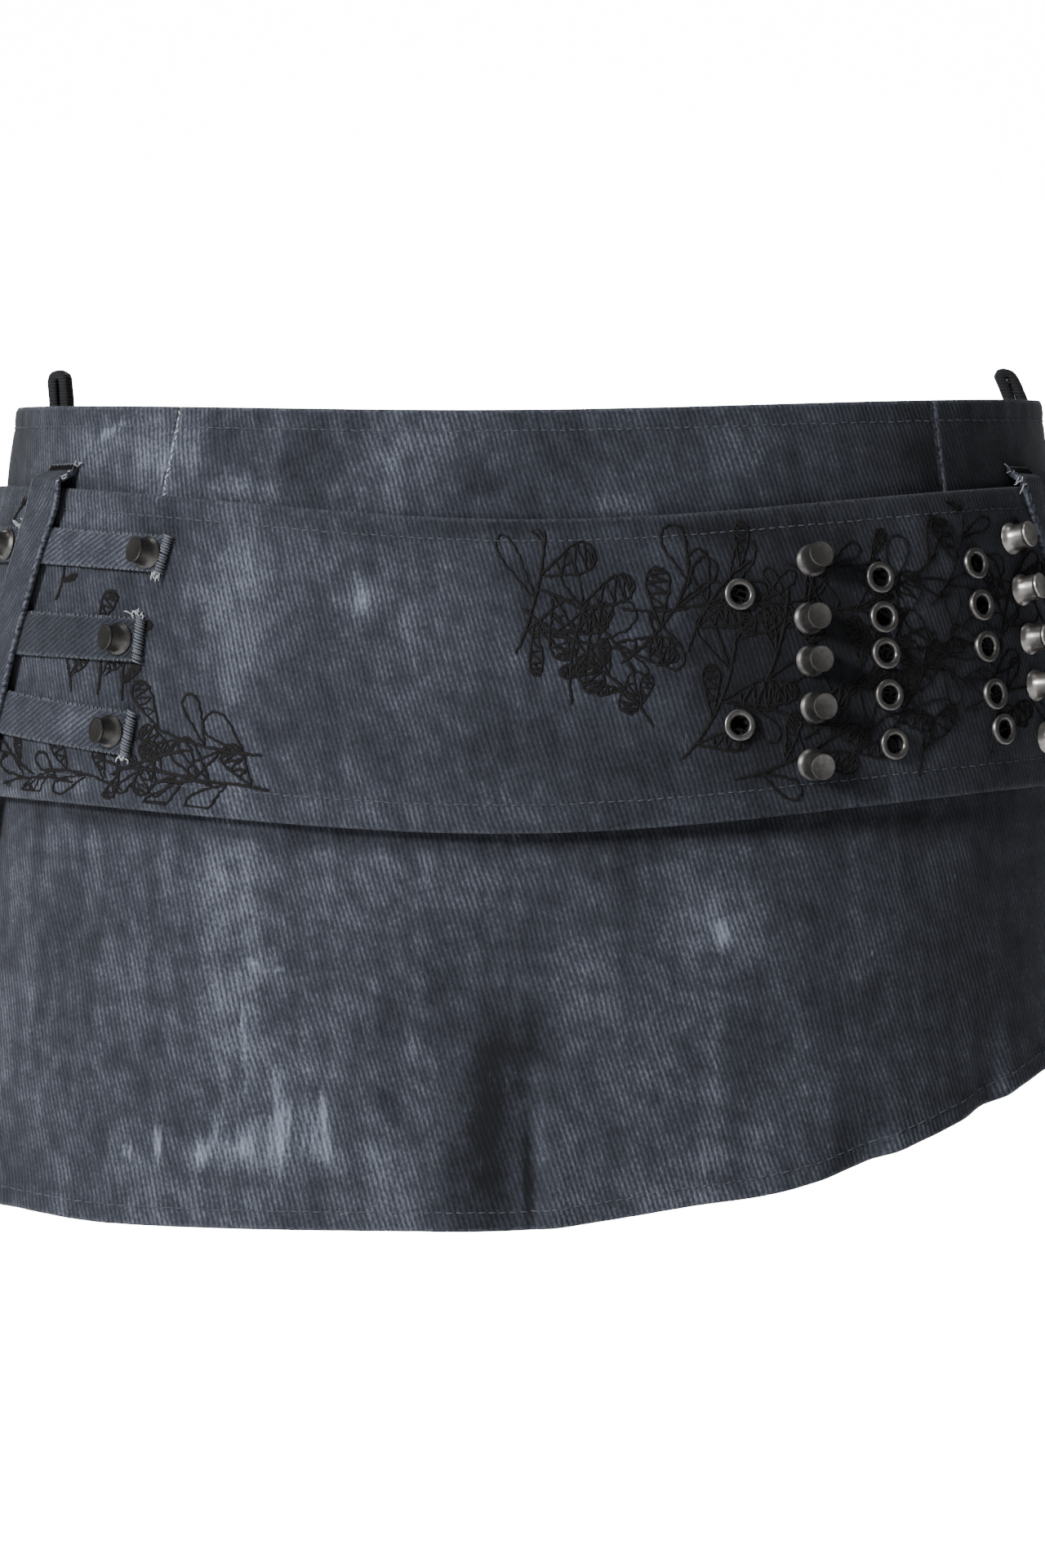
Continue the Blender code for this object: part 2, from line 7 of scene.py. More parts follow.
# %% Load the frame
import json
import math
import random
from collections import namedtuple

import bmesh
import bpy
from mathutils import Matrix, Vector, noise

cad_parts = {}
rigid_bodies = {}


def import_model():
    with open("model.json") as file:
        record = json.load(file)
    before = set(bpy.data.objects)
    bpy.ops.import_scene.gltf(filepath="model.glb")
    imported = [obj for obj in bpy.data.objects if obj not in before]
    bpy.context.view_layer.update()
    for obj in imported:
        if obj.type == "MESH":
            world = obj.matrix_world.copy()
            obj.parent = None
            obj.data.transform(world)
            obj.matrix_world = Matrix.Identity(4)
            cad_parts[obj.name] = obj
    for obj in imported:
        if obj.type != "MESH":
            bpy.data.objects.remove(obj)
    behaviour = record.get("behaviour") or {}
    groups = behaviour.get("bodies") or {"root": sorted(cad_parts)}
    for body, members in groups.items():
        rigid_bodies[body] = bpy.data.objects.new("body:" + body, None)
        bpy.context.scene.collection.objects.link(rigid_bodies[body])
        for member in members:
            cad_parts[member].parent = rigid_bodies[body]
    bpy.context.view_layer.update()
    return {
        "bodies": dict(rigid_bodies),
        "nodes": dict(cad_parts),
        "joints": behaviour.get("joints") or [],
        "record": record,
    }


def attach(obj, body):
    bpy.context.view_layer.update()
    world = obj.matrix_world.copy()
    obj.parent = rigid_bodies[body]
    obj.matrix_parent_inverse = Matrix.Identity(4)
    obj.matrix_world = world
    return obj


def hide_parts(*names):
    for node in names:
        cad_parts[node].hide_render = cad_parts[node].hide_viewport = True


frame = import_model()
print("pieces in the frame:", len(frame["nodes"]))

# %% [markdown]
# Two small helpers: one links a new object to the scene, and one names the numbers in the
# rows of a table.

# %% Helpers
def linked(name, data):
    """A new object in the scene."""
    thing = bpy.data.objects.new(name, data)
    bpy.context.scene.collection.objects.link(thing)
    return thing


def table(kind, *rows):
    """Plain rows of numbers as named ones."""
    return tuple(kind(*row) for row in rows)


# %% [markdown]
# The camera stands level with the middle of the picture, two metres in front of the waist.
# A long lens at that distance shows the sides turning away just as a shop photograph does.
# The picture is 1280 by 1920 pixels and 8591 of them span an angle whose tangent is one.

# %% Camera
PICTURE_WIDTH = 1280
PICTURE_HEIGHT = 1920
FOCAL_PIXELS = 8591
SENSOR = 36.0
CAMERA_AT = Vector((-0.00186, -2.0, -0.101))

camera_data = bpy.data.cameras.new("camera")
camera_data.sensor_width = SENSOR
camera_data.lens = SENSOR * FOCAL_PIXELS / PICTURE_HEIGHT
camera_data.clip_end = 20
camera = linked("camera", camera_data)
camera.location = CAMERA_AT
camera.rotation_euler = (math.radians(90), 0, 0)
bpy.context.scene.camera = camera
print(f"lens {camera_data.lens:.0f} mm, {-CAMERA_AT.y:.1f} m from the middle of the garment")

# %% [markdown]
# The figure is a short table of level sections, in millimetres, from the hem up. Each row
# gives half the width and how far the front and the back lie from the middle. A section
# is an ellipse that is very slightly squared. Every sheet of cloth is placed by a turn round
# this figure, a height, and how far it stands off, so nothing has to be fitted by eye.

# %% Figure
MM = 0.001
SEAM_GAP = 0.3
ROUNDNESS = 2.1
HALVINGS = 30
Section = namedtuple("Section", "z half_width front back")
FIGURE = (
    Section(-230, 167.0, 117.5, 129.0),
    Section(-180, 163.2, 116.0, 127.5),
    Section(-120, 158.0, 114.2, 124.0),
    Section(-80, 154.5, 112.8, 119.0),
    Section(-40, 151.2, 110.8, 112.5),
    Section(0, 146.2, 108.0, 105.5),
    Section(15, 144.8, 106.8, 103.5),
)


def smooth(rows, at, column):
    """Read one column of a table between its rows, along a smooth curve through them."""
    last = len(rows) - 2
    i = 0
    while i < last and at > rows[i + 1][0]:
        i += 1
    low, high = rows[i], rows[i + 1]
    before, after = rows[max(i - 1, 0)], rows[min(i + 2, last + 1)]
    span = high[0] - low[0]
    t = min(max((at - low[0]) / span, 0), 1)
    start, end = getattr(low, column), getattr(high, column)
    slope_in = (end - getattr(before, column)) / (high[0] - before[0]) * span
    slope_out = (getattr(after, column) - start) / (after[0] - low[0]) * span
    return (
        start * (2 * t ** 3 - 3 * t ** 2 + 1)
        + slope_in * (t ** 3 - 2 * t ** 2 + t)
        + end * (3 * t ** 2 - 2 * t ** 3)
        + slope_out * (t ** 3 - t ** 2)
    )


def ease(t):
    """A soft step from 0 to 1 as t goes from 0 to 1."""
    t = min(max(t, 0), 1)
    return t * t * (3 - 2 * t)


def mix(start, end, t):
    return start + (end - start) * t


def ring(turn, z, out=0.0):
    """A point on the figure at a turn in degrees, moved straight out from its surface."""
    angle = math.radians(turn)
    half_width = smooth(FIGURE, z, "half_width")
    depth = smooth(FIGURE, z, "front" if math.cos(angle) > 0 else "back")
    across = math.sin(angle) / half_width
    along = -math.cos(angle) / depth
    reach = (abs(across) ** ROUNDNESS + abs(along) ** ROUNDNESS) ** (-1 / ROUNDNESS)
    normal = Vector((
        math.copysign(abs(across) ** (ROUNDNESS - 1) / half_width, across),
        math.copysign(abs(along) ** (ROUNDNESS - 1) / depth, along),
        0,
    )).normalized()
    return Vector((math.sin(angle) * reach, -math.cos(angle) * reach, z)) + normal * out


def outward(turn, z):
    """The level direction that points straight away from the figure."""
    return (ring(turn, z, 1.0) - ring(turn, z)).normalized()


def turn_at(x, z, out):
    """The turn on the front half at which a face that stands off by out reaches x."""
    low, high = -90, 90
    for _ in range(HALVINGS):
        middle = (low + high) / 2
        if ring(middle, z, out).x < x:
            low = middle
        else:
            high = middle
    return (low + high) / 2


def wrapped(turn):
    """The same turn between -180 and 180."""
    return (turn + 180) % 360 - 180


def even_steps(start, end, step):
    """Evenly spaced values from start to end, about a step apart."""
    count = max(1, round((end - start) / step))
    return [mix(start, end, i / count) for i in range(count + 1)]


# %% [markdown]
# Shader maths reads best as plain arithmetic. A small class wraps a node socket, and each
# operator adds the Math node that it stands for, so a mask can be written as 1 - wear * 2.
# Colours go through Mix nodes instead, because a Math node would turn them grey.

# %% Shader arithmetic
class Value:
    """A number that varies over a surface."""

    def __init__(self, shader, socket):
        self.shader = shader
        self.socket = socket

    def math(self, operation, other=None, third=None):
        inputs = {0: self}
        if other is not None:
            inputs[1] = other
        if third is not None:
            inputs[2] = third
        return self.shader.add("ShaderNodeMath", {"operation": operation}, inputs)

    def __add__(self, other):
        return self.math("ADD", other)

    __radd__ = __add__

    def __mul__(self, other):
        return self.math("MULTIPLY", other)

    __rmul__ = __mul__

    def __sub__(self, other):
        return self.math("SUBTRACT", other)

    def __rsub__(self, other):
        return self.math("MULTIPLY_ADD", -1.0, other)

    def __truediv__(self, other):
        return self.math("DIVIDE", other)

    def wave(self):
        """From 0 to 1 and back once for each whole number."""
        return (self * math.tau).math("SINE") * 0.5 + 0.5

    def ramp(self, low, high):
        """A soft step from 0 at low to 1 at high."""
        settings = {"interpolation_type": "SMOOTHSTEP", "clamp": True}
        return self.shader.add("ShaderNodeMapRange", settings, {0: self, 1: low, 2: high})

    def clamped(self):
        return self.shader.add("ShaderNodeClamp", {}, {0: self})


class Shader:
    """A material whose nodes are added one expression at a time."""

    def __init__(self, name):
        self.material = bpy.data.materials.new(name)
        self.material.use_nodes = True
        self.tree = self.material.node_tree
        self.surface = self.tree.nodes["Principled BSDF"]

    def add(self, kind, settings, inputs, output=0):
        """Add a node: its settings first, then its sockets. Returns one output as a Value."""
        node = self.tree.nodes.new(kind)
        for key, value in settings.items():
            setattr(node, key, value)
        for key, value in inputs.items():
            self.feed(node.inputs[key], value)
        return Value(self, node.outputs[output])

    def feed(self, socket, value):
        if isinstance(value, Value):
            self.tree.links.new(value.socket, socket)
        elif socket.type == "RGBA":
            socket.default_value = (*value, 1.0)
        else:
            socket.default_value = value

    def uv(self):
        """The piece's own flat pattern, in metres along its width and length."""
        spot = self.add("ShaderNodeUVMap", {"uv_map": "Cloth"}, {})
        along = self.add("ShaderNodeSeparateXYZ", {}, {0: spot})
        down = Value(self, along.socket.node.outputs[1])
        return along, down

    def attribute(self, name):
        return self.add("ShaderNodeAttribute", {"attribute_name": name}, {}, output="Fac")

    def solid(self):
        """A point in the piece's own space, in metres."""
        return self.add("ShaderNodeTexCoord", {}, {}, output="Object")

    def point(self, x, y):
        return self.add("ShaderNodeCombineXYZ", {}, {0: x, 1: y})

    def noise(self, place, scale, detail, roughness=0.5):
        inputs = {"Vector": place, "Scale": scale, "Detail": detail, "Roughness": roughness}
        return self.add("ShaderNodeTexNoise", {"noise_dimensions": "3D"}, inputs)

    def stretched(self, across, length, grain, detail):
        """Noise whose grains have one size in metres across and another along."""
        place = self.point(across / grain.across, length / grain.along)
        return self.noise(place, 1.0, detail)

    def blend(self, start, end, share):
        """Mix two colours."""
        inputs = {"Factor": share, 6: start, 7: end}
        return self.add("ShaderNodeMix", {"data_type": "RGBA"}, inputs, output=2)

    def colour(self, value):
        self.feed(self.surface.inputs["Base Color"], value)

    def rough(self, value):
        self.feed(self.surface.inputs["Roughness"], value)

    def relief(self, height, distance, strength):
        """Raise the surface by height times distance, in metres, for light alone."""
        bump = self.add(
            "ShaderNodeBump", {}, {"Height": height, "Distance": distance, "Strength": strength}
        )
        self.feed(self.surface.inputs["Normal"], bump)


# %% [markdown]
# Washing leaves cloudy patches, and some of them are part of this garment's look. They are
# placed where they show in the picture: each has a middle, half a width and half a length in
# picture pixels, a lean in degrees, and a strength that is negative where the cloth is darker.
# Some dark patches are painted shade and not wash: a painted shadow on the skirt under the
# belt's foot, painted shade in the dip of the middle pleat, and in part the dark place where
# the belt's top edge stands off the waistband on the right. The back gets the same kind of
# patches, seen from behind and shifted up, so the painted shadow lies under the belt's foot
# there too. A second table has the small bleached marks, which are stronger and have ragged
# edges.

# %% Washed patches, painted shade and bleached marks
Patch = namedtuple("Patch", "across down wide long lean strength")
WASH_AND_SHADE_PATCHES = table(
    Patch,
    (290, 1200, 45, 260, 0, 0.22), (320, 1185, 20, 18, 0, 0.4), (60, 1150, 60, 60, 0, -0.15),
    (110, 1250, 60, 50, 0, -0.15), (215, 1170, 24, 70, 5, -0.14), (500, 1290, 22, 42, 0, 0.2),
    # Painted shade: the three patches on this line and the first on the next darken the dip of the
    # middle pleat, and the four long thin ones from 150, 1002 to 1120, 1004 paint the shadow under the
    # belt's foot.
    (604, 1310, 34, 95, 10, -0.55), (590, 1440, 42, 90, 6, -0.55), (647, 1450, 6, 70, -2, -0.9),
    (655, 1270, 20, 45, 0, -0.25), (150, 1002, 190, 13, 5, -0.34), (480, 1030, 190, 13, 2, -0.34),
    (800, 1026, 190, 13, -3, -0.34), (1120, 1004, 190, 14, -5, -0.3), (700, 1400, 30, 45, 0, 0.12),
    (880, 1135, 38, 44, 0, 0.34), (800, 1240, 18, 14, 0, 0.14), (700, 1060, 50, 60, 0, -0.14),
    (860, 1410, 18, 60, 8, 0.16), (930, 1380, 16, 70, 5, 0.12), (970, 1040, 25, 30, 0, 0.12),
    (1060, 1165, 26, 24, 0, 0.15), (1110, 1030, 25, 60, 0, -0.25), (1190, 1200, 100, 150, 0, -0.24),
    (900, 1300, 30, 50, 0, -0.1), (170, 1415, 35, 35, 0, 0.18), (300, 1410, 85, 36, 0, 0.26),
    (300, 750, 30, 170, 3, 0.28), (445, 735, 22, 26, 0, 0.5), (470, 800, 72, 72, 0, 0.18),
    (215, 800, 34, 160, 0, -0.12), (160, 850, 14, 60, 0, -0.3), (90, 880, 45, 25, 0, 0.26),
    (130, 640, 30, 25, 0, 0.22), (460, 925, 40, 36, 0, -0.16), (650, 920, 95, 44, 0, -0.28),
    (600, 645, 200, 12, -2, -0.26), (720, 720, 60, 60, 0, -0.14), (715, 810, 22, 20, 0, 0.14),
    (930, 800, 115, 190, 0, -0.6), (1060, 790, 60, 200, 0, -0.25), (800, 940, 80, 40, 0, -0.14),
    (885, 648, 90, 14, 0, -0.4), (1030, 820, 34, 160, 0, -0.3), (1100, 800, 14, 160, 0, 0.28),
    (1215, 800, 70, 170, 0, -0.3), (1050, 982, 85, 8, 4, 0.2), (40, 968, 70, 10, -6, 0.3),
    (110, 545, 60, 30, 0, 0.14), (192, 552, 20, 46, 8, 0.3), (278, 548, 26, 34, 0, -0.3),
    (300, 598, 45, 12, 4, 0.22), (360, 588, 45, 30, 10, -0.2), (168, 560, 32, 45, 0, 0.2),
    (232, 545, 11, 30, 0, 0.25), (30, 545, 18, 60, 0, -0.25), (385, 540, 45, 40, 0, -0.2),
    (510, 560, 60, 60, 0, 0.06), (590, 590, 30, 22, 0, -0.28), (745, 560, 90, 50, 0, -0.16),
    # The patch at 1165, 560 is in part a painted shadow, where the belt's top edge stands off the
    # waistband, and in part a darker wash.
    (905, 560, 50, 60, 0, 0.14), (1165, 560, 80, 60, 0, -0.42),
)
BLEACHED = table(
    Patch,
    (155, 1409, 8, 13, 0, 0.8), (194, 1400, 8, 28, -4, 0.9), (245, 1418, 10, 22, 0, 0.8),
    (298, 1402, 20, 25, 12, 0.8), (347, 1392, 13, 44, 3, 0.9), (398, 1374, 4, 44, -3, 0.8),
    (300, 1300, 6, 60, 0, 0.6), (338, 1345, 9, 60, 0, 0.65), (385, 1395, 16, 56, 0, 0.6),
    (265, 1390, 12, 40, 0, 0.55), (310, 1180, 8, 6, 0, 0.9), (339, 1188, 7, 8, 0, 0.9),
    (298, 1255, 4, 28, 0, 0.8), (518, 1188, 4, 8, 0, 0.7), (506, 1282, 4, 16, 0, 0.8),
    (104, 1262, 3, 9, 0, 0.7), (884, 1140, 11, 24, -6, 0.95), (881, 1070, 4, 7, 0, 0.7),
    (1068, 1168, 4, 5, 0, 0.7), (1166, 1074, 4, 5, 0, 0.7), (444, 735, 12, 20, 4, 0.9),
    (205, 560, 7, 52, 14, 0.7), (120, 540, 8, 34, 50, 0.55), (150, 520, 6, 26, 62, 0.5),
)
BACK_ASIDE = 0.02
BACK_RISE = 0.017
PATCH_REACH = 2.5


def picture(point):
    """Where the camera sees a point, in picture pixels across and down."""
    depth = point.y - CAMERA_AT.y
    across = PICTURE_WIDTH / 2 + (point.x - CAMERA_AT.x) * FOCAL_PIXELS / depth
    return across, PICTURE_HEIGHT / 2 - (point.z - CAMERA_AT.z) * FOCAL_PIXELS / depth


def patches(table, point):
    """The summed strength of the patches at a point. Behind, they are mirrored and shifted."""
    if point.y > 0:
        point = Vector((BACK_ASIDE - point.x, -point.y, point.z - BACK_RISE))
    across, down = picture(point)
    total = 0.0
    for patch in table:
        off_x, off_y = across - patch.across, down - patch.down
        reach = patch.long * PATCH_REACH + patch.wide
        if abs(off_x) > reach or abs(off_y) > reach:
            continue
        lean = math.radians(patch.lean)
        u = (off_x * math.cos(lean) + off_y * math.sin(lean)) / patch.wide
        v = (off_y * math.cos(lean) - off_x * math.sin(lean)) / patch.long
        total += patch.strength * math.exp(-(u * u + v * v))
    return total


# %% [markdown]
# Washed-black denim is a twill: fine slanted ridges of dark warp, with paler weft showing as
# flecks between them. The ridges follow each piece's own flat pattern, so they bend with the
# cloth. Edges and proud folds are rubbed pale. A picture of cloth would be quicker, but it
# would repeat and stretch, so the weave is added up from waves and noise.

# %% Denim
WALE_PITCH = 0.00138
WALE_LEAN = math.radians(-17)
STRAP_LEAN = math.radians(55)
INK = (0.0085, 0.0096, 0.0126)
SLATE = (0.036, 0.0395, 0.052)
PALE = (0.158, 0.172, 0.214)
CHALK = (0.26, 0.295, 0.37)
Look = namedtuple("Look", "tone wash wear lean")

# Grain sizes are in metres, and noise scales in grains a metre
Grain = namedtuple("Grain", "across along")
FLECK = Grain(0.0006, 0.0011)
SLUB = Grain(0.0015, 0.026)
STREAK = Grain(0.006, 0.05)
FIBRE = Grain(0.0011, 0.011)
WANDER_SCALE = 28.0
CLOUD_SCALE = 21.0
MOTTLE_SCALE = 170.0
GRAIN_SCALE = 900.0
WANDER = 0.003
WEAVE_RELIEF = 0.00018


def denim(name, look):
    """Twill with slanted wales, a cloudy wash that carries painted shade, pale worn edges and bleached
    marks.
    """
    shader = Shader(name)
    along, down = shader.uv()
    flat = shader.point(along, down)
    wander = shader.noise(flat, WANDER_SCALE, detail=1.0) - 0.5
    cosine, sine = math.cos(look.lean), math.sin(look.lean)
    across = along * cosine - down * sine + wander * WANDER
    length = along * sine + down * cosine
    wale = (across / WALE_PITCH).wave()
    fleck = shader.stretched(across, length, FLECK, detail=1.5)
    slub = shader.stretched(across, length, SLUB, detail=1.0)
    cloud = shader.noise(flat, CLOUD_SCALE, detail=4.0, roughness=0.62)
    streak = shader.stretched(along, down, STREAK, detail=2.0)
    grain = shader.noise(flat, GRAIN_SCALE, detail=2.0)
    mottle = shader.noise(flat, MOTTLE_SCALE, detail=3.0, roughness=0.6)

    # The wash attribute is washed patches together with painted shade: the painted shadow under the
    # belt's foot and the painted shade in the middle pleat's dip.
    wash = shader.attribute("wash")
    patchy = ((cloud - 0.5) * 0.7 + (streak - 0.5) * 0.35 + (mottle - 0.5) * 0.5) * look.wash
    level = (wash * (cloud * 0.9 + 0.15) + patchy + 0.42) * look.tone
    thread = (wale - 0.5) * 0.55 + (fleck - 0.5) * 1.3 + (slub - 0.5) * 0.4
    light = (level + thread * (level * 0.55 + 0.16)).clamped()

    edge = shader.attribute("edge")
    rubbed = (1 - edge.ramp(0.0002, 0.0015)) * grain.ramp(0.35, 0.65) * look.wear
    rubbed = (rubbed + shader.attribute("proud") * thread.ramp(-0.2, 0.5) * 0.5).clamped()
    fibre = shader.stretched(along, down, FIBRE, detail=2.0)
    ragged = (grain - 0.5) * 0.5 + (fibre - 0.5) * 1.5 + (streak - 0.5) * 0.5
    bleached = (shader.attribute("bleach") * 0.9 + ragged).ramp(0.25, 0.95)

    colour = shader.blend(INK, SLATE, light.ramp(0.0, 0.5))
    colour = shader.blend(colour, PALE, light.ramp(0.38, 1.0))
    colour = shader.blend(colour, PALE, rubbed * 0.7)
    colour = shader.blend(colour, CHALK, bleached * (wale * 0.3 + fleck * 0.6 + 0.1).clamped())
    shader.colour(colour)
    shader.rough(0.94 - rubbed * 0.1)
    shader.relief(wale * 0.7 + fleck * 0.6 + slub * 0.4, WEAVE_RELIEF, 0.8)
    shader.surface.inputs["Specular IOR Level"].default_value = 0.2
    shader.surface.inputs["Sheen Weight"].default_value = 0.08
    shader.surface.inputs["Sheen Roughness"].default_value = 0.5
    return shader.material


# %% [markdown]
# A sheet starts as a flat bmesh grid. Each of its corners is moved to its place on the figure,
# and the flat pattern is measured along the laid cloth, as a maker would with a tape. Four
# more numbers stay on every corner: how near the cut edge is, how proud a fold stands there,
# how washed the cloth is, with painted shade and painted shadow added in, and how bleached it
# is. A cloth simulation could drape the pieces, but then nothing would say where a crease in
# the picture has to be.

# %% Laying cloth
Cut = namedtuple("Cut", "width length area")


def tape(points):
    """Lengths along a line of points, starting from 0."""
    run = [0.0]
    for a, b in zip(points, points[1:]):
        run.append(run[-1] + (b - a).length)
    return run


def shaped(name, form, material, sharp=None):
    """A smooth object from a bmesh. Edges that turn by more than sharp degrees stay sharp."""
    mesh = bpy.data.meshes.new(name)
    form.to_mesh(mesh)
    form.free()
    mesh.shade_smooth()
    if sharp is not None:
        mesh.set_sharp_from_angle(angle=math.radians(sharp))
    mesh.materials.append(material)
    return linked(name, mesh)


def lay(node, columns, rows, place, thick, material, proud=None, holes=()):
    """Lay a sheet by place(column, row) and thicken it inwards. Returns it with its cut."""
    form = bmesh.new()
    spans, drops = len(columns) - 1, len(rows) - 1
    bmesh.ops.create_grid(form, x_segments=spans, y_segments=drops, size=0.5)
    layers = {key: form.verts.layers.float.new(key) for key in ("edge", "proud", "wash", "bleach")}
    pattern = form.loops.layers.uv.new("Cloth")
    spots = {}
    for vert in form.verts:
        i = round((vert.co.x + 0.5) * spans)
        j = round((0.5 - vert.co.y) * drops)
        spots[vert] = (i, j)
        vert.co = place(columns[i], rows[j]) * MM
    laid = {spots[vert]: vert.co.copy() for vert in form.verts}
    widths = tape([laid[i, drops // 2] for i in range(spans + 1)])
    lengths = [tape([laid[i, j] for j in range(drops + 1)]) for i in range(spans + 1)]
    for vert, (i, j) in spots.items():
        down = lengths[i][j]
        nearest = min(widths[i], widths[-1] - widths[i], down, lengths[i][-1] - down)
        vert[layers["edge"]] = nearest
        vert[layers["proud"]] = proud(columns[i], rows[j]) if proud else 0.0
        # The wash number also carries painted shade: the shadow under the belt's foot and the shade in
        # a pleat's dip.
        vert[layers["wash"]] = patches(WASH_AND_SHADE_PATCHES, vert.co)
        vert[layers["bleach"]] = patches(BLEACHED, vert.co)
    for face in form.faces:
        for loop in face.loops:
            i, j = spots[loop.vert]
            loop[pattern].uv = (widths[i], -lengths[i][j])
    area = sum(face.calc_area() for face in form.faces)
    punched = [
        face for face in form.faces
        if any((face.calc_center_median() - hole).length < HOLE_RADIUS for hole in holes)
    ]
    bmesh.ops.delete(form, geom=punched, context="FACES")
    piece = shaped(node + "_cloth", form, material)
    wall = piece.modifiers.new("Wall", "SOLIDIFY")
    wall.thickness = thick * MM
    wall.offset = -1
    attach(piece, "root")
    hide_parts(node)
    levels = [[laid[i, j] for i in range(spans + 1)] for j in (0, drops // 2, drops)]
    width = max(tape(level)[-1] for level in levels)
    cut = Cut(width, max(run[-1] for run in lengths), area)
    print(f"{node}: cut {cut.width * 1000:.0f} by {cut.length * 1000:.0f} mm")
    return piece, cut


def declare(piece, cut, with_pieces=()):
    """Work out a piece's area from its cut; nothing is kept or recorded."""
    area = min(cut.area, cut.width * cut.length)
    list(with_pieces)


def seam_turns(start, end, z):
    """The ends of a piece, drawn in by half a seam gap at each."""
    inset_start = math.degrees(SEAM_GAP / 2 / ring(start, z).xy.length)
    inset_end = math.degrees(SEAM_GAP / 2 / ring(end, z).xy.length)
    return start + inset_start, end - inset_end


# %% [markdown]
# Sewing thread is drawn as fine round curves. A stitch starts and ends in the cloth and lies
# on it in between, so a row of them casts the small shadows of real topstitching. A bevelled
# curve needs only four points for this, and the thread can be made thicker in one place.

# %% Thread
THREAD_END = 0.45
STITCH_SUNK = -0.25
STITCH_PROUD = 0.12
STITCH_BEND = 0.18


def thread_material(name, colour, spread):
    """Twisted cotton thread: small changes of colour along it, and a soft surface."""
    shader = Shader(name)
    place = shader.solid()
    fine = shader.noise(place, 2600.0, detail=2.0)
    broad = shader.noise(place, 120.0, detail=2.0)
    darker = tuple(part * (1 - spread) for part in colour)
    shader.colour(shader.blend(darker, colour, (fine * 0.6 + broad * 0.8 - 0.2).clamped()))
    shader.rough(fine * 0.2 + 0.7)
    shader.relief(fine, 0.0001, 0.6)
    shader.surface.inputs["Specular IOR Level"].default_value = 0.3
    return shader.material


def threads(name, runs, radius, material, rounding=1):
    """Each run is a list of points in millimetres and becomes one length of thread."""
    data = bpy.data.curves.new(name, "CURVE")
    data.dimensions = "3D"
    data.bevel_depth = radius * MM
    data.bevel_resolution = rounding
    data.use_fill_caps = True
    for run in runs:
        spline = data.splines.new("POLY")
        spline.points.add(len(run) - 1)
        for spot, point in zip(spline.points, run):
            spot.co = (*(point * MM), 1.0)
            spot.radius = 1.0
        spline.points[0].radius = spline.points[-1].radius = THREAD_END
    data.materials.append(material)
    piece = linked(name, data)
    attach(piece, "root")
    print(f"{name}: {len(runs)} threads")
    return piece


def stitch_row(start, end, count, spot, fill=0.78, wobble=0.12):
    """Stitches from start to end along spot(t, aside, lift), each filling part of its step."""
    runs = []
    for i in range(count):
        first = mix(start, end, (i + 0.5 - fill / 2) / count)
        last = mix(start, end, (i + 0.5 + fill / 2) / count)
        aside = random.uniform(-wobble, wobble)
        lean = random.uniform(-wobble, wobble)
        runs.append([
            spot(first, aside - lean, STITCH_SUNK),
            spot(mix(first, last, STITCH_BEND), aside - lean, STITCH_PROUD),
            spot(mix(first, last, 1 - STITCH_BEND), aside + lean, STITCH_PROUD),
            spot(last, aside + lean, STITCH_SUNK),
        ])
    return runs


GREY_THREAD = thread_material("grey_thread", (0.105, 0.115, 0.14), 0.7)
PALE_THREAD = thread_material("pale_thread", (0.5, 0.52, 0.55), 0.45)
EDGE_THREAD = thread_material("edge_thread", (0.2, 0.215, 0.245), 0.75)
WHITE_THREAD = thread_material("white_thread", (0.6, 0.62, 0.65), 0.5)
BLACK_THREAD = thread_material("black_thread", (0.0095, 0.008, 0.0085), 0.5)

# %% [markdown]
# The skirt is one short panel in front and one behind. Its hem is cut on a slant, and soft
# pleats are pressed into it: each has a long dip on the left of its crease and a short rise
# to a proud fold on the right. The same table as in the construction places them, and a
# second table adds the small creases that only the eye wants.

# %% Skirt
Hem = namedtuple("Hem", "turn z")
HEM = table(
    Hem,
    (-180, -200), (-150, -211), (-120, -215), (-90, -216.5), (-68, -217.4), (-53, -220.6),
    (-16, -221.2), (0, -221), (10, -218.3), (21, -214.6), (31.5, -211.4), (41.5, -204.9), (52, -195.7),
    (59, -188.6), (67.5, -180), (90, -164), (108, -161), (130, -170), (155, -188), (180, -200),
)
Pleat = namedtuple("Pleat", "turn depth wide apex")
PLEATS_FRONT = (
    Pleat(0.2, 5.0, 23, -159),
    Pleat(43.5, 4.0, 17, -172),
    Pleat(58.4, 2.8, 11, -160),
    Pleat(-76, 3.0, 18, -168),
)
PLEATS_BACK = (
    Pleat(112, 3.2, 15, -134),
    Pleat(136, 4.2, 20, -142),
    Pleat(165, 4.6, 22, -150),
    Pleat(-169, 3.6, 17, -158),
    Pleat(-143, 4.8, 24, -152),
    Pleat(-113, 3.4, 18, -165),
)
PLEAT_RISE = 7.5
PLEAT_PROUD = 0.9
PLEAT_FADE = 15
PLEAT_NARROWS = 0.45
SKIRT_THICK = 1.2
BAND_HEIGHT = 40.0
HEM_TURN_UP = 5.6
HEM_STEP = 0.35
HEM_STITCH_UP = 5.1
HEM_STITCHES = 128
CLOTH_STEP = 1.7
SKIRT_DEGREE = 2.45
SKIRT_MIDDLE = -110
SKIRT_ROWS = 104
SKIRT_HELD = 20
NEAR = 25

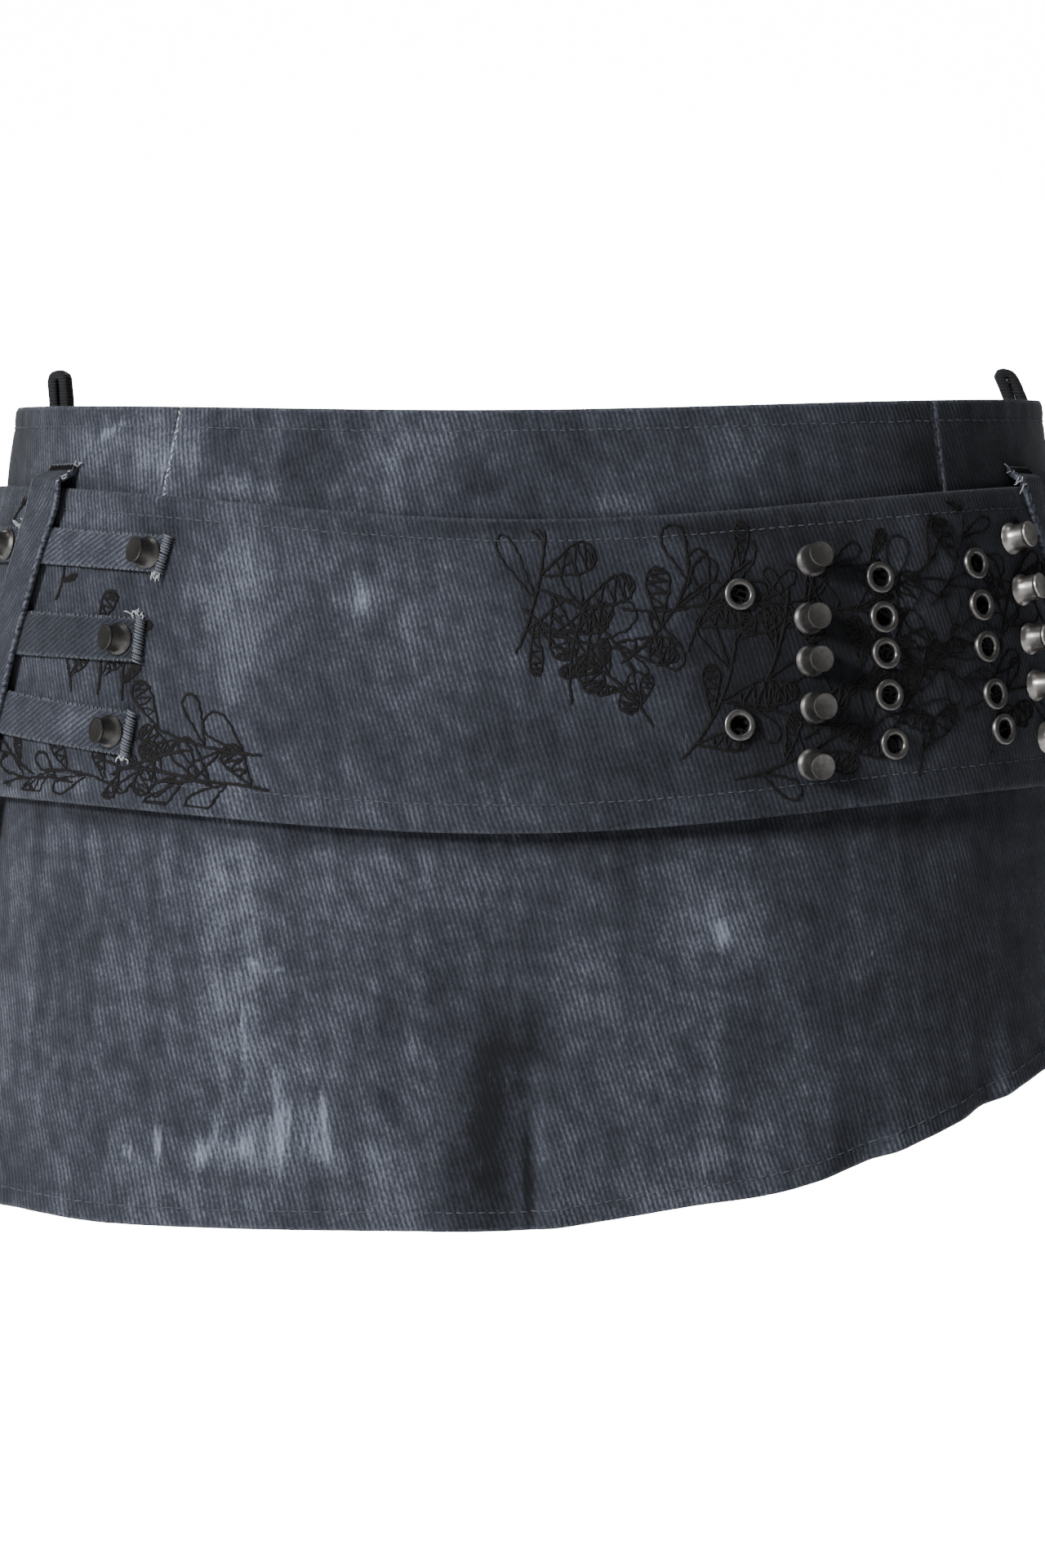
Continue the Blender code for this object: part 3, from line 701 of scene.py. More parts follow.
# A crease is a soft trough: where its middle lies, half its length and width,
# how far it leans from upright in degrees, and how deep it is
Crease = namedtuple("Crease", "turn z long wide lean depth")
SKIRT_CREASES = table(
    Crease,
    (-7, -150, 46, 9, 15, 1.5), (-60, -150, 34, 7, 18, 0.8), (-34, -172, 28, 8, -10, 0.7),
    (-17, -190, 26, 6, 12, 0.6), (21, -165, 30, 8, -14, 0.7), (31, -190, 20, 5, 8, 0.6),
    (70, -150, 26, 7, 20, 0.9), (82, -140, 22, 6, -12, 0.8), (100, -140, 20, 7, 10, 0.8),
    (124, -150, 22, 8, -8, 0.9), (150, -165, 26, 9, 14, 0.8), (-178, -170, 24, 7, -12, 0.7),
    (-156, -180, 24, 8, 10, 0.8), (-128, -172, 30, 8, -16, 0.9), (-98, -165, 28, 8, 12, 0.8),
)


def waist_top(turn):
    angle = math.radians(turn)
    return 5.0 * (1 - math.cos(angle)) + 2.0 * math.sin(angle) ** 2 + math.sin(angle)


def hem_z(turn):
    return smooth(HEM, wrapped(turn), "z")


def pleat_dip(pleat, turn, z, hem):
    """How far one pleat moves the cloth in at a point: negative where it stands proud."""
    if z >= pleat.apex:
        return 0.0
    grown = (pleat.apex - z) / (pleat.apex - hem)
    reach = ring(pleat.turn, z).xy.length
    aside = math.radians(wrapped(turn - pleat.turn)) * reach
    wide = pleat.wide * mix(PLEAT_NARROWS, 1, grown)
    if aside < 0:
        dip = pleat.depth * ease(1 + aside / wide)
    elif aside < PLEAT_RISE:
        dip = mix(pleat.depth, -PLEAT_PROUD, ease(aside / PLEAT_RISE))
    else:
        dip = -PLEAT_PROUD * ease(1 - (aside - PLEAT_RISE) / PLEAT_FADE)
    return dip * min(grown, 1) ** 1.4


def crease_dip(crease, turn, z):
    """A trough that is deepest in its middle and fades towards its ends."""
    aside = math.radians(wrapped(turn - crease.turn)) * ring(crease.turn, crease.z).xy.length
    lean = math.radians(crease.lean)
    rise = z - crease.z
    along = aside * math.sin(lean) + rise * math.cos(lean)
    across = aside * math.cos(lean) - rise * math.sin(lean)
    return crease.depth * math.exp(-(across / crease.wide) ** 2 - (along / crease.long) ** 2)


def near(fold, turn):
    return abs(wrapped(turn - fold.turn)) < NEAR


def skirt_out(turn, z, pleats):
    """How far the skirt's outer face stands off the figure, with pleats, creases and hem."""
    hem = hem_z(turn)
    dip = sum(pleat_dip(pleat, turn, z, hem) for pleat in pleats if near(pleat, turn))
    dip += sum(crease_dip(crease, turn, z) for crease in SKIRT_CREASES if near(crease, turn))
    above = z - hem
    turned_up = ease((HEM_TURN_UP + 0.8 - above) / 0.8) * HEM_STEP
    rope = 0.16 * math.sin((math.radians(turn) * 150 + above * 0.9) / 1.9) * ease(2 - above / 4)
    ripple = noise.noise(Vector((turn * 0.11, z * 0.035, 3.0))) * 0.7
    return ripple + turned_up + rope - dip


def make_skirt():
    random.seed(7)
    for side, start, pleats in (("front", -90, PLEATS_FRONT), ("back", 90, PLEATS_BACK)):
        ends = seam_turns(start, start + 180, SKIRT_MIDDLE)
        columns = even_steps(*ends, CLOTH_STEP / SKIRT_DEGREE)
        rows = even_steps(0, 1, 1 / SKIRT_ROWS)

        def height(turn, down):
            return mix(waist_top(turn) - BAND_HEIGHT - SEAM_GAP, hem_z(turn), down)

        def face(turn, z, pleats=pleats):
            free = ease((waist_top(turn) - BAND_HEIGHT - z) / SKIRT_HELD)
            return ring(turn, z, skirt_out(turn, z, pleats) * free)

        def place(turn, down, face=face):
            return face(turn, height(turn, down))

        def proud(turn, down, pleats=pleats):
            z = height(turn, down)
            dips = [pleat_dip(pleat, turn, z, hem_z(turn)) for pleat in pleats]
            return min(1.0, max(0.0, -sum(dips) * 0.9))

        def on_hem(turn, aside, lift, face=face):
            z = hem_z(turn) + HEM_STITCH_UP + aside
            return face(turn, z) + outward(turn, z) * lift

        node = f"skirt_{side}"
        material = denim(f"{node}_denim", Look(1.0, 1.0, 0.45, WALE_LEAN))
        piece, cut = lay(node, columns, rows, place, SKIRT_THICK, material, proud)
        runs = stitch_row(start + 0.6, start + 179.4, HEM_STITCHES, on_hem)
        hem = threads(f"{node}_hem_stitches", runs, 0.2, GREY_THREAD)
        declare(piece, cut, [hem])


# %% [markdown]
# The waistband is cut in four lengths. Two of its seams slant a little, and they are rubbed
# almost white. Its top edge is turned and has one row of stitches. The groove along the
# stitches is part of the laid form and not of the shader.

# %% Waistband
BAND_THICK = 2.0
BAND_OUT = 0.4
BAND_STITCH_DOWN = 5.7
BandPiece = namedtuple("BandPiece", "name start end")
BAND_PIECES = (
    BandPiece("waistband_front", -50, 57),
    BandPiece("waistband_right", 57, 122),
    BandPiece("waistband_back", 122, 235),
    BandPiece("waistband_left", 235, 310),
)
SEAM_SLANT = {-50: -2.6, 57: 0.8}
SEAM_REACH = 14
WAIST_SEAM_TURN = -49.6
WAIST_SEAM_STITCHES = 17
BAND_STITCHES_A_DEGREE = 0.74
BAND_STEP = 0.75


def slanted(turn, down):
    """Turns near a slanted seam, moved along with it."""
    turn = wrapped(turn)
    for seam, slant in SEAM_SLANT.items():
        near_seam = ease(1 - abs(turn - seam) / SEAM_REACH)
        turn += slant * (down - 0.5) * near_seam
    return turn


def band_face(turn, down, lift=0.0):
    """The waistband's outer face, with its turned edge and the groove of the stitches."""
    turn = slanted(turn, down)
    below = down * BAND_HEIGHT
    groove = 0.28 * math.exp(-((below - BAND_STITCH_DOWN) / 1.1) ** 2)
    edge = 0.5 * math.exp(-(below / 0.7) ** 2)
    ripple = noise.noise(Vector((turn * 0.12, below * 0.06, 9.0))) * 0.45
    pucker = 0.12 * math.sin(turn * 2.1) * math.exp(-((below - 3) / 3) ** 2)
    tuck = 0.5 * math.exp(-((turn + 62 - below * 0.22) / 2.2) ** 2 - ((below - 20) / 12) ** 2)
    z = waist_top(turn) - below
    out = BAND_OUT + ripple + pucker - groove - edge - tuck + lift
    return ring(turn, z, out)


def make_waistband():
    random.seed(11)
    rows = [0, 0.012, 0.03, 0.06, 0.09, 0.12, 0.145, 0.17, 0.2] + even_steps(0.25, 1, 0.05)
    pieces = []
    for band in BAND_PIECES:
        columns = even_steps(*seam_turns(band.start, band.end, 0), BAND_STEP)
        tone = 0.75 if band.name == "waistband_right" else 0.92
        material = denim(band.name + "_denim", Look(tone, 0.9, 0.6, WALE_LEAN))
        piece, cut = lay(band.name, columns, rows, band_face, BAND_THICK, material)
        count = round((band.end - band.start) * BAND_STITCHES_A_DEGREE)

        def on_band(turn, aside, lift):
            return band_face(turn, (BAND_STITCH_DOWN + aside) / BAND_HEIGHT, lift)

        runs = stitch_row(band.start + 0.5, band.end - 0.5, count, on_band)
        top = threads(band.name + "_stitches", runs, 0.2, GREY_THREAD)
        pieces.append((piece, cut, [top]))

    def on_seam(down, aside, lift):
        return band_face(WAIST_SEAM_TURN + aside * 0.5, down, lift)

    runs = stitch_row(0.02, 0.76, WAIST_SEAM_STITCHES, on_seam, fill=0.6, wobble=0.3)
    seam = threads("waist_seam_stitches", runs, 0.3, PALE_THREAD)
    pieces[0][2].append(seam)
    pieces[1][2].append(make_hanger_loop(HANGER_LOOPS[1]))
    pieces[3][2].append(make_hanger_loop(HANGER_LOOPS[0]))
    for piece, cut, extras in pieces:
        declare(piece, cut, extras)


# %% [markdown]
# A hanger loop is a narrow tape whose two ends are sewn inside the waistband. It is swept as
# one bent strip with rounded edges.

# %% Hanger loops
HangerLoop = namedtuple("HangerLoop", "name turn rise lean")
HANGER_LOOPS = (
    HangerLoop("hanger_loop_left", -102.5, 11.6, -4),
    HangerLoop("hanger_loop_right", 93.5, 10.2, -4),
)
HANGER_TAPE_THICK = 3.2
HANGER_TAPE_WIDTH = 5.0
HANGER_SLIT = 0.3
HANGER_DEPTH = 10.0
HANGER_BEND = {"hanger_loop_right": 0.36}
HANGER_STEPS = 8
HANGER_ARC_STEPS = 12
HANGER_SIDES = 16
RIB_PITCH = 0.0009


def make_hanger_loop(loop):
    """Sweep a rounded section up one side, over the top and down the other side."""
    inner = HANGER_SLIT / 2
    middle = inner + HANGER_TAPE_THICK / 2
    outer = inner + HANGER_TAPE_THICK
    straight = loop.rise + HANGER_DEPTH - outer
    upright = [(middle, straight * i / HANGER_STEPS) for i in range(HANGER_STEPS)]
    arc = [math.pi * i / HANGER_ARC_STEPS for i in range(HANGER_ARC_STEPS + 1)]
    path = upright + [(middle * math.cos(a), straight + middle * math.sin(a)) for a in arc]
    path += [(-x, height) for x, height in reversed(upright)]
    z = waist_top(loop.turn)
    out = outward(loop.turn, z)
    up = Vector((0, 0, 1))
    frame = Matrix((out, up.cross(out), up)).transposed()
    turned = Matrix.Rotation(math.radians(loop.lean), 3, "Y") @ frame
    root = ring(loop.turn, z, BAND_OUT - BAND_THICK - SEAM_GAP)

    def spot(x, aside, height):
        bent = HANGER_BEND.get(loop.name, 0) * max(0, height - HANGER_DEPTH)
        return turned @ Vector((x - outer - bent, aside, height - HANGER_DEPTH)) + root

    form = bmesh.new()
    half = HANGER_TAPE_WIDTH / 2
    sections = []
    for i, (x, height) in enumerate(path):
        before, after = path[max(i - 1, 0)], path[min(i + 1, len(path) - 1)]
        along = Vector((after[0] - before[0], after[1] - before[1])).normalized()
        side = Vector((along.y, -along.x))
        corners = []
        for k in range(HANGER_SIDES):
            angle = math.tau * k / HANGER_SIDES
            swell = 1 + 0.05 * math.sin(i * 1.7 + k)
            round_x = math.copysign(abs(math.cos(angle)) ** 0.6, math.cos(angle))
            round_y = math.copysign(abs(math.sin(angle)) ** 0.45, math.sin(angle))
            off = round_x * HANGER_TAPE_THICK / 2 * swell * 0.96
            corner = spot(x + side.x * off, round_y * half, height + side.y * off)
            corners.append(form.verts.new(corner * MM))
        sections.append(corners)
    for low, high in zip(sections, sections[1:]):
        for k in range(HANGER_SIDES):
            form.faces.new((low[k], low[k - 1], high[k - 1], high[k]))
    form.faces.new(sections[0])
    form.faces.new(reversed(sections[-1]))
    bmesh.ops.recalc_face_normals(form, faces=form.faces)
    piece = shaped(loop.name + "_tape", form, TAPE, sharp=60)
    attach(piece, "root")
    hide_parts(loop.name)
    return piece


def tape_material():
    """Dark woven tape with a fine cross rib."""
    shader = Shader("hanger_tape")
    place = shader.solid()
    parts = shader.add("ShaderNodeSeparateXYZ", {}, {0: place})
    height = Value(shader, parts.socket.node.outputs[2])
    rib = (height / RIB_PITCH).wave()
    fine = shader.noise(place, 1500.0, detail=2.0)
    shader.colour(shader.blend((0.006, 0.006, 0.008), (0.05, 0.055, 0.065), rib * 0.35 * fine))
    shader.rough(fine * 0.2 + 0.75)
    shader.relief(rib + fine, 0.0002, 0.7)
    return shader.material


TAPE = tape_material()

# %% [markdown]
# The belt is two long pieces joined at the sides. Its edges are turned in and stitched, which
# leaves a shallow groove along each row, and eyelets are set through its front.

# %% Belt
BELT_TOP_FRONT = -29.8
BELT_TOP_SIDE = -16.8
BELT_TOP_BACK = -12.8
BELT_HEIGHT = 84.5
BELT_TILT = 1.8
BELT_THICK = 2.4
BELT_CLEAR_TOP = 0.8
BELT_CLEAR_SIDE = 0.8
BELT_CLEAR_FOOT = 3.0
BELT_BULGE = 1.1
BELT_STITCH_TOP = 5.8
BELT_STITCH_FOOT = 7.7
HOLE_RADIUS = 0.0031


def belt_top(turn):
    angle = math.radians(turn)
    nearest = BELT_TOP_FRONT if math.cos(angle) > 0 else BELT_TOP_BACK
    return mix(nearest, BELT_TOP_SIDE, math.sin(angle) ** 2)


def belt_height(turn):
    return BELT_HEIGHT - BELT_TILT * math.sin(math.radians(turn))


def belt_out(turn, down):
    """How far the belt's outer face stands off the skirt cloth."""
    side = BELT_CLEAR_SIDE * math.sin(math.radians(turn)) ** 2
    clear = mix(BELT_CLEAR_TOP + side, BELT_CLEAR_FOOT, down)
    return clear + BELT_BULGE * 4 * down * (1 - down) + BELT_THICK


def belt_relief(turn, down):
    """Grooves along the stitches, rounded edges and the soft waves of worn cloth."""
    below = down * belt_height(turn)
    above = (1 - down) * belt_height(turn)
    groove = 0.3 * math.exp(-((below - BELT_STITCH_TOP) / 0.9) ** 2)
    groove += 0.35 * math.exp(-((above - BELT_STITCH_FOOT) / 0.9) ** 2)
    edge = 0.6 * math.exp(-(below / 0.8) ** 2) + 0.6 * math.exp(-(above / 0.8) ** 2)
    wave = noise.noise(Vector((turn * 0.09, below * 0.022, 5.0))) * 0.7
    pucker = noise.noise(Vector((turn * 0.9, below * 0.05, 1.0)))
    pucker *= 0.3 * (math.exp(-(below / 7) ** 2) + math.exp(-(above / 9) ** 2))
    return wave + pucker - groove - edge


def belt_face(turn, down):
    z = belt_top(turn) - down * belt_height(turn)
    return ring(turn, z, belt_out(turn, down) + belt_relief(turn, down))


def belt_share(turn, z):
    """How far down the belt a height lies: 0 at its top edge or above, 1 at its foot or below."""
    return min(max((belt_top(turn) - z) / belt_height(turn), 0), 1)


def on_belt(turn, z, lift=0.0):
    """A point that stands off the belt's outer face by lift."""
    return ring(turn, z, belt_out(turn, belt_share(turn, z)) + lift)


def on_belt_cloth(turn, z, lift):
    """The same, from the waved face of the cloth that shows."""
    return on_belt(turn, z, lift + belt_relief(turn, belt_share(turn, z)))


def belt_turn(x, z):
    """The turn at which the belt's front face reaches x."""
    return turn_at(x, z, belt_out(0, (belt_top(0) - z) / BELT_HEIGHT))


def belt_degree(turn, z):
    """How many degrees one millimetre along the belt is."""
    return math.degrees(1 / on_belt(turn, z).xy.length)


def standing(turn, z, lift, lean=0.0, nod=0.0):
    """A matrix whose local +Z stands on the belt's outer face, leant and nodded."""
    out = outward(turn, z)
    up = (on_belt(turn, z + 2) - on_belt(turn, z - 2)).normalized()
    aside = up.cross(out).normalized()
    out = aside.cross(up)
    frame = Matrix((aside, up, out)).transposed()
    tilt = Matrix.Rotation(-math.radians(lean), 3, up) @ Matrix.Rotation(-math.radians(nod), 3, aside)
    matrix = (tilt @ frame).to_4x4()
    matrix.translation = on_belt(turn, z, lift)
    return matrix


# %% [markdown]
# Eyelets and studs are turned, as on a lathe: a section goes round a line that stands on the
# belt. A stud's foot stays flat on the cloth while the rest of it leans over, so each one
# catches the light in its own way. Bevelled cylinders would do as well, but a section shows
# the rolled lip of an eyelet at a glance.

# %% Eyelets and studs
Placed = namedtuple("Placed", "x z")
EYELETS = table(
    Placed,
    (56.4, -50.0), (56.3, -85.2), (94.5, -45.0), (95.6, -55.8), (96.2, -65.6), (97.1, -76.9),
    (98.6, -90.2), (121.3, -40.6), (122.9, -52.0), (124.5, -63.4), (127.0, -76.4), (129.6, -86.0),
)
EYELET_SECTION = (
    (2.5, -2.35), (2.85, -2.35), (2.9, 0.3), (4.45, 0.3), (4.5, 0.5), (4.46, 0.9), (4.36, 1.35),
    (4.15, 1.68), (3.85, 1.8), (3.3, 1.8), (2.95, 1.72), (2.7, 1.5), (2.55, 1.1), (2.5, 0.4),
)
Stud = namedtuple("Stud", "name x z lean nod")
STUDS_ON_BELT = (
    Stud("stud_centre_1", 76.0, -40.6, -4, 9),
    Stud("stud_centre_2", 75.3, -56.3, -5, 1),
    Stud("stud_centre_3", 75.9, -67.7, -5, 0),
    Stud("stud_centre_4", 77.0, -80.3, -4, -1),
    Stud("stud_centre_5", 76.3, -95.7, -5, -8),
    Stud("stud_side_1", 131.7, -33.3, -6, 3),
    Stud("stud_side_2", 134.8, -47.4, -7, 4),
    Stud("stud_side_3", 137.3, -60.9, -4, 1),
    Stud("stud_side_4", 139.2, -73.7, -5, 0),
    Stud("stud_side_5", 142.6, -88.1, -4, -3),
)
STUD_HEIGHT = 6.6
STUD_HEIGHT_ON_STRAP = 4.5
STUD_SECTION = (
    (0, 0), (4.4, 0), (4.5, 0.03), (4.35, 0.09), (3.95, 0.15), (3.65, 0.23), (3.5, 0.34),
    (3.42, 0.5), (3.4, 0.8), (3.44, 0.855), (3.56, 0.88), (3.6, 0.91), (3.6, 0.965), (3.5, 0.995),
    (3.3, 1.0), (3.2, 0.992), (0, 0.992),
)
LATHE_SIDES = 40
EYELET_SPOTS = [(belt_turn(eyelet.x, eyelet.z), eyelet.z) for eyelet in EYELETS]


def gunmetal(name, base, roughness):
    """Worn dark plating: fine scratches, a mottled tarnish and brighter rubbed places."""
    shader = Shader(name)
    place = shader.solid()
    fine = shader.noise(place, 3200.0, detail=3.0)
    mottle = shader.noise(place, 420.0, detail=3.0)
    tarnish = mottle.ramp(0.4, 0.68)
    dark = tuple(part * 0.55 for part in base)
    shader.colour(shader.blend(base, dark, tarnish * 0.7))
    shader.rough(fine * 0.16 + tarnish * 0.14 + roughness)
    shader.relief(fine * 0.5 + mottle * 0.5, 0.00006, 0.5)
    shader.surface.inputs["Metallic"].default_value = 1.0
    return shader.material


# Three copies of one gunmetal: the side studs' copy has a brighter base colour as a painted
# reflection, and the strap studs' copy a darker base colour as painted shade that damps the
# reflections they catch. The side copy is also smoother, as polished metal is.
STUD_METAL_LIT_AND_SHADED = {
    "stud_centre": gunmetal("centre_stud_gunmetal", (0.19, 0.185, 0.18), 0.32),
    "stud_side": gunmetal("side_stud_gunmetal", (0.42, 0.4, 0.385), 0.24),
    "stud_strap": gunmetal("strap_stud_gunmetal", (0.13, 0.125, 0.12), 0.3),
}
EYELET_METAL = gunmetal("eyelet_gunmetal", (0.2, 0.195, 0.19), 0.26)


def turned(name, section, move, material):
    """Spin a section round local Z, then move each of its points by move(point)."""
    form = bmesh.new()
    corners = [form.verts.new((radius, 0, height)) for radius, height in section]
    edges = [form.edges.new(pair) for pair in zip(corners, corners[1:])]
    if section[0][0] > 0:
        edges.append(form.edges.new((corners[-1], corners[0])))
    bmesh.ops.spin(
        form, geom=corners + edges, axis=(0, 0, 1), cent=(0, 0, 0), dvec=(0, 0, 0),
        angle=math.tau, steps=LATHE_SIDES, use_merge=True,
    )
    bmesh.ops.remove_doubles(form, verts=form.verts, dist=0.001)
    bmesh.ops.recalc_face_normals(form, faces=form.faces)
    for vert in form.verts:
        vert.co = move(vert.co) * MM
    piece = shaped(name + "_turned", form, material, sharp=40)
    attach(piece, "root")
    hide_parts(name)


def make_stud(name, turn, z, lift, lean, nod, height):
    seat = standing(turn, z, lift).translation
    axis = standing(turn, z, lift, lean, nod).to_3x3() @ Vector((0, 0, height))

    def move(point):
        share = point.z
        level = standing(turn, z, lift, lean * share, nod * share).to_3x3()
        return level @ Vector((point.x, point.y, 0)) + seat + axis * share

    turned(name, STUD_SECTION, move, STUD_METAL_LIT_AND_SHADED["_".join(name.split("_")[:2])])


def make_metal():
    for number, (turn, z) in enumerate(EYELET_SPOTS, 1):
        place = standing(turn, z, 0)

        def move(point, place=place):
            return place @ point

        turned(f"eyelet_{number:02d}", EYELET_SECTION, move, EYELET_METAL)
    for stud in STUDS_ON_BELT:
        turn = belt_turn(stud.x, stud.z)
        make_stud(stud.name, turn, stud.z, SEAM_GAP, stud.lean, stud.nod, STUD_HEIGHT)
    for strap in STRAPS:
        along = (strap.stud_turn - strap.turn) / (strap.turn_far - strap.turn)
        z = mix(strap.z, strap.z_far, along)
        lift = STRAP_OUT + STRAP_THICK + SEAM_GAP
        name = strap.name.replace("strap", "stud_strap")
        turn = strap.stud_turn
        make_stud(name, turn, z, lift, strap.lean, strap.nod, STUD_HEIGHT_ON_STRAP)
    print("eyelets:", len(EYELETS), "studs:", len(STUDS_ON_BELT) + len(STRAPS))


# %% [markdown]
# The strap tabs lie on the belt's left end, held by their studs. Their cut ends are bound
# with thick pale overcast stitches that have started to fray. They are laid from the free end
# backwards, with rows close together where the end is rounded, because cloth in a model can
# only bend where it has corners.

# %% Strap tabs
Strap = namedtuple("Strap", "name turn turn_far z z_far width stud_turn lean nod")
STRAPS = (
    Strap("strap_front_1", -47.5, -65.5, -38.5, -35.0, 10.2, -49.7, 22, 4),
    Strap("strap_front_2", -49.9, -68.0, -61.8, -59.0, 12.2, -52.5, 24, 0),
    Strap("strap_front_3", -50.6, -70.5, -87.5, -80.6, 12.2, -53.0, 23, 2),
    Strap("strap_side_1", -69.2, -102.0, -34.4, -33.0, 10.0, -71.8, 8, 0),
    Strap("strap_side_2", -72.0, -103.0, -57.6, -56.0, 11.0, -74.7, 8, 0),
    Strap("strap_side_3", -74.2, -104.0, -79.8, -77.0, 11.2, -77.1, 8, 0),
)
STRAP_THICK = 2.0
STRAP_OUT = 0.3
STRAP_CORNER = 1.3
STRAP_SLANT = {"strap_front_1": 0.45, "strap_front_2": 0.1, "strap_front_3": 0.4}
STRAP_TONE = {"strap_front_1": 1.0, "strap_front_2": 0.66, "strap_front_3": 0.82}
STRAP_LOOSE_ENDS = 9
OVERCAST_A_MM = 1.25
OVERCAST_SLIP = 0.1
CURL_STEPS = 5


def strap_spot(strap, along, aside, lift):
    """A point over a strap: along in millimetres from its free end, aside from -1 to 1."""
    degree = belt_degree(strap.turn, strap.z)
    slant = STRAP_SLANT.get(strap.name, 0.1) * aside * ease(1 - along / 12)
    turn = strap.turn - along * degree - slant
    share = (turn - strap.turn) / (strap.turn_far - strap.turn)
    z = mix(strap.z, strap.z_far, share) - aside * strap.width / 2
    return on_belt(turn, z, STRAP_OUT + STRAP_THICK + lift)


def strap_face(strap, along, aside):
    """The strap's outer face, with rounded edges, cut corners and a slight wave."""
    end = min(along / STRAP_CORNER, 1)
    narrow = 1 - (1 - math.sqrt(max(0, 1 - (1 - end) ** 2))) * 0.22
    round_edge = 0.55 * abs(aside) ** 8 + 0.5 * math.exp(-(along / 0.7) ** 2)
    wave = 0.18 * noise.noise(Vector((along * 0.15, aside * 0.7, strap.z)))
    return strap_spot(strap, along, aside * narrow, wave - round_edge)


def make_straps():
    random.seed(23)
    pieces = []
    for strap in STRAPS:
        length = (strap.turn - strap.turn_far) / belt_degree(strap.turn, strap.z)
        columns = [length - run for run in even_steps(0, length - 2.1, 0.9)]
        columns += [1.7, 1.3, 0.9, 0.5, 0.2, 0]
        rows = [-1, -0.97, -0.92, -0.84, -0.7, -0.5, -0.25, 0, 0.25, 0.5, 0.7, 0.84, 0.92, 0.97, 1]

        def place(along, aside, strap=strap):
            return strap_face(strap, along, aside)

        tone = STRAP_TONE.get(strap.name, 0.7)
        material = denim(strap.name + "_denim", Look(tone, 0.6, 0.5, STRAP_LEAN))
        piece, _ = lay(strap.name, columns, rows, place, STRAP_THICK, material)
        pieces += [piece, overcast(strap), side_stitches(strap, length), frayed_end(strap)]
    return pieces


def overcast(strap):
    """Thick stitches over the cut end, close together."""
    runs = []
    count = round(strap.width * OVERCAST_A_MM)
    for i in range(count + 1):
        aside = mix(-0.97, 0.97, i / count) + random.uniform(-0.03, 0.03)
        inside = random.uniform(1.45, 1.9)
        runs.append([
            strap_spot(strap, inside, aside - OVERCAST_SLIP, -0.1),
            strap_spot(strap, inside * 0.65, aside - OVERCAST_SLIP * 0.6, 0.25),
            strap_spot(strap, 0.2, aside, 0.18),
            strap_spot(strap, -0.35, aside + OVERCAST_SLIP * 0.4, -0.6),
            strap_spot(strap, -0.35, aside + OVERCAST_SLIP, -1.7),
        ])
    return threads(strap.name + "_overcast", runs, 0.3, EDGE_THREAD)


def side_stitches(strap, length):
    """Smaller stitches along both sides, palest near the free end."""
    runs = []
    for side in (-1, 1):
        along = 2.0
        while along < length:
            reach = random.uniform(0.5, 0.9)
            inner = side * (1 - 2 * reach / strap.width)
            runs.append([
                strap_spot(strap, along, inner, -0.1),
                strap_spot(strap, along + 0.2, side * 0.97, 0.08),
                strap_spot(strap, along + 0.5, side * 1.03, -0.7),
            ])
            along += random.uniform(1.2, 1.7) * (1 if along < 22 else 2.5)
    return threads(strap.name + "_side_stitches", runs, 0.18, EDGE_THREAD)


def curl(start, away, aside, length):
    """A loose thread end: a short wandering curve from a point."""
    points = [start]
    heading = away.copy()
    for _ in range(CURL_STEPS):
        heading = (heading + aside * random.uniform(-0.9, 0.9)).normalized()
        points.append(points[-1] + heading * length / CURL_STEPS)
    return points


def frayed_end(strap):
    """Loose white thread ends at one corner of the free end."""
    runs = []
    corner = 1 if strap.name in ("strap_front_1", "strap_front_3") else -1
    for _ in range(STRAP_LOOSE_ENDS):
        along = random.uniform(-0.4, 3.4)
        start = strap_spot(strap, along, corner * random.uniform(0.85, 1.12), random.uniform(-0.9, 0))
        away = Vector((random.uniform(-0.8, 0.8), -0.35, -corner + random.uniform(-0.4, 0.4)))
        runs.append(curl(start, away.normalized(), Vector((1, -0.3, 0.4)), random.uniform(1.2, 3.0)))
    return threads(strap.name + "_frayed_end", runs, 0.2, WHITE_THREAD)


# %% [markdown]
# The belt's black decoration is free sewing with thick thread. This is a plain pattern of
# its own: leafy sprigs, where most lines are sewn over again and never twice the same. Each
# stitch is placed on the belt by its turn and height, so the thread follows the waved cloth.

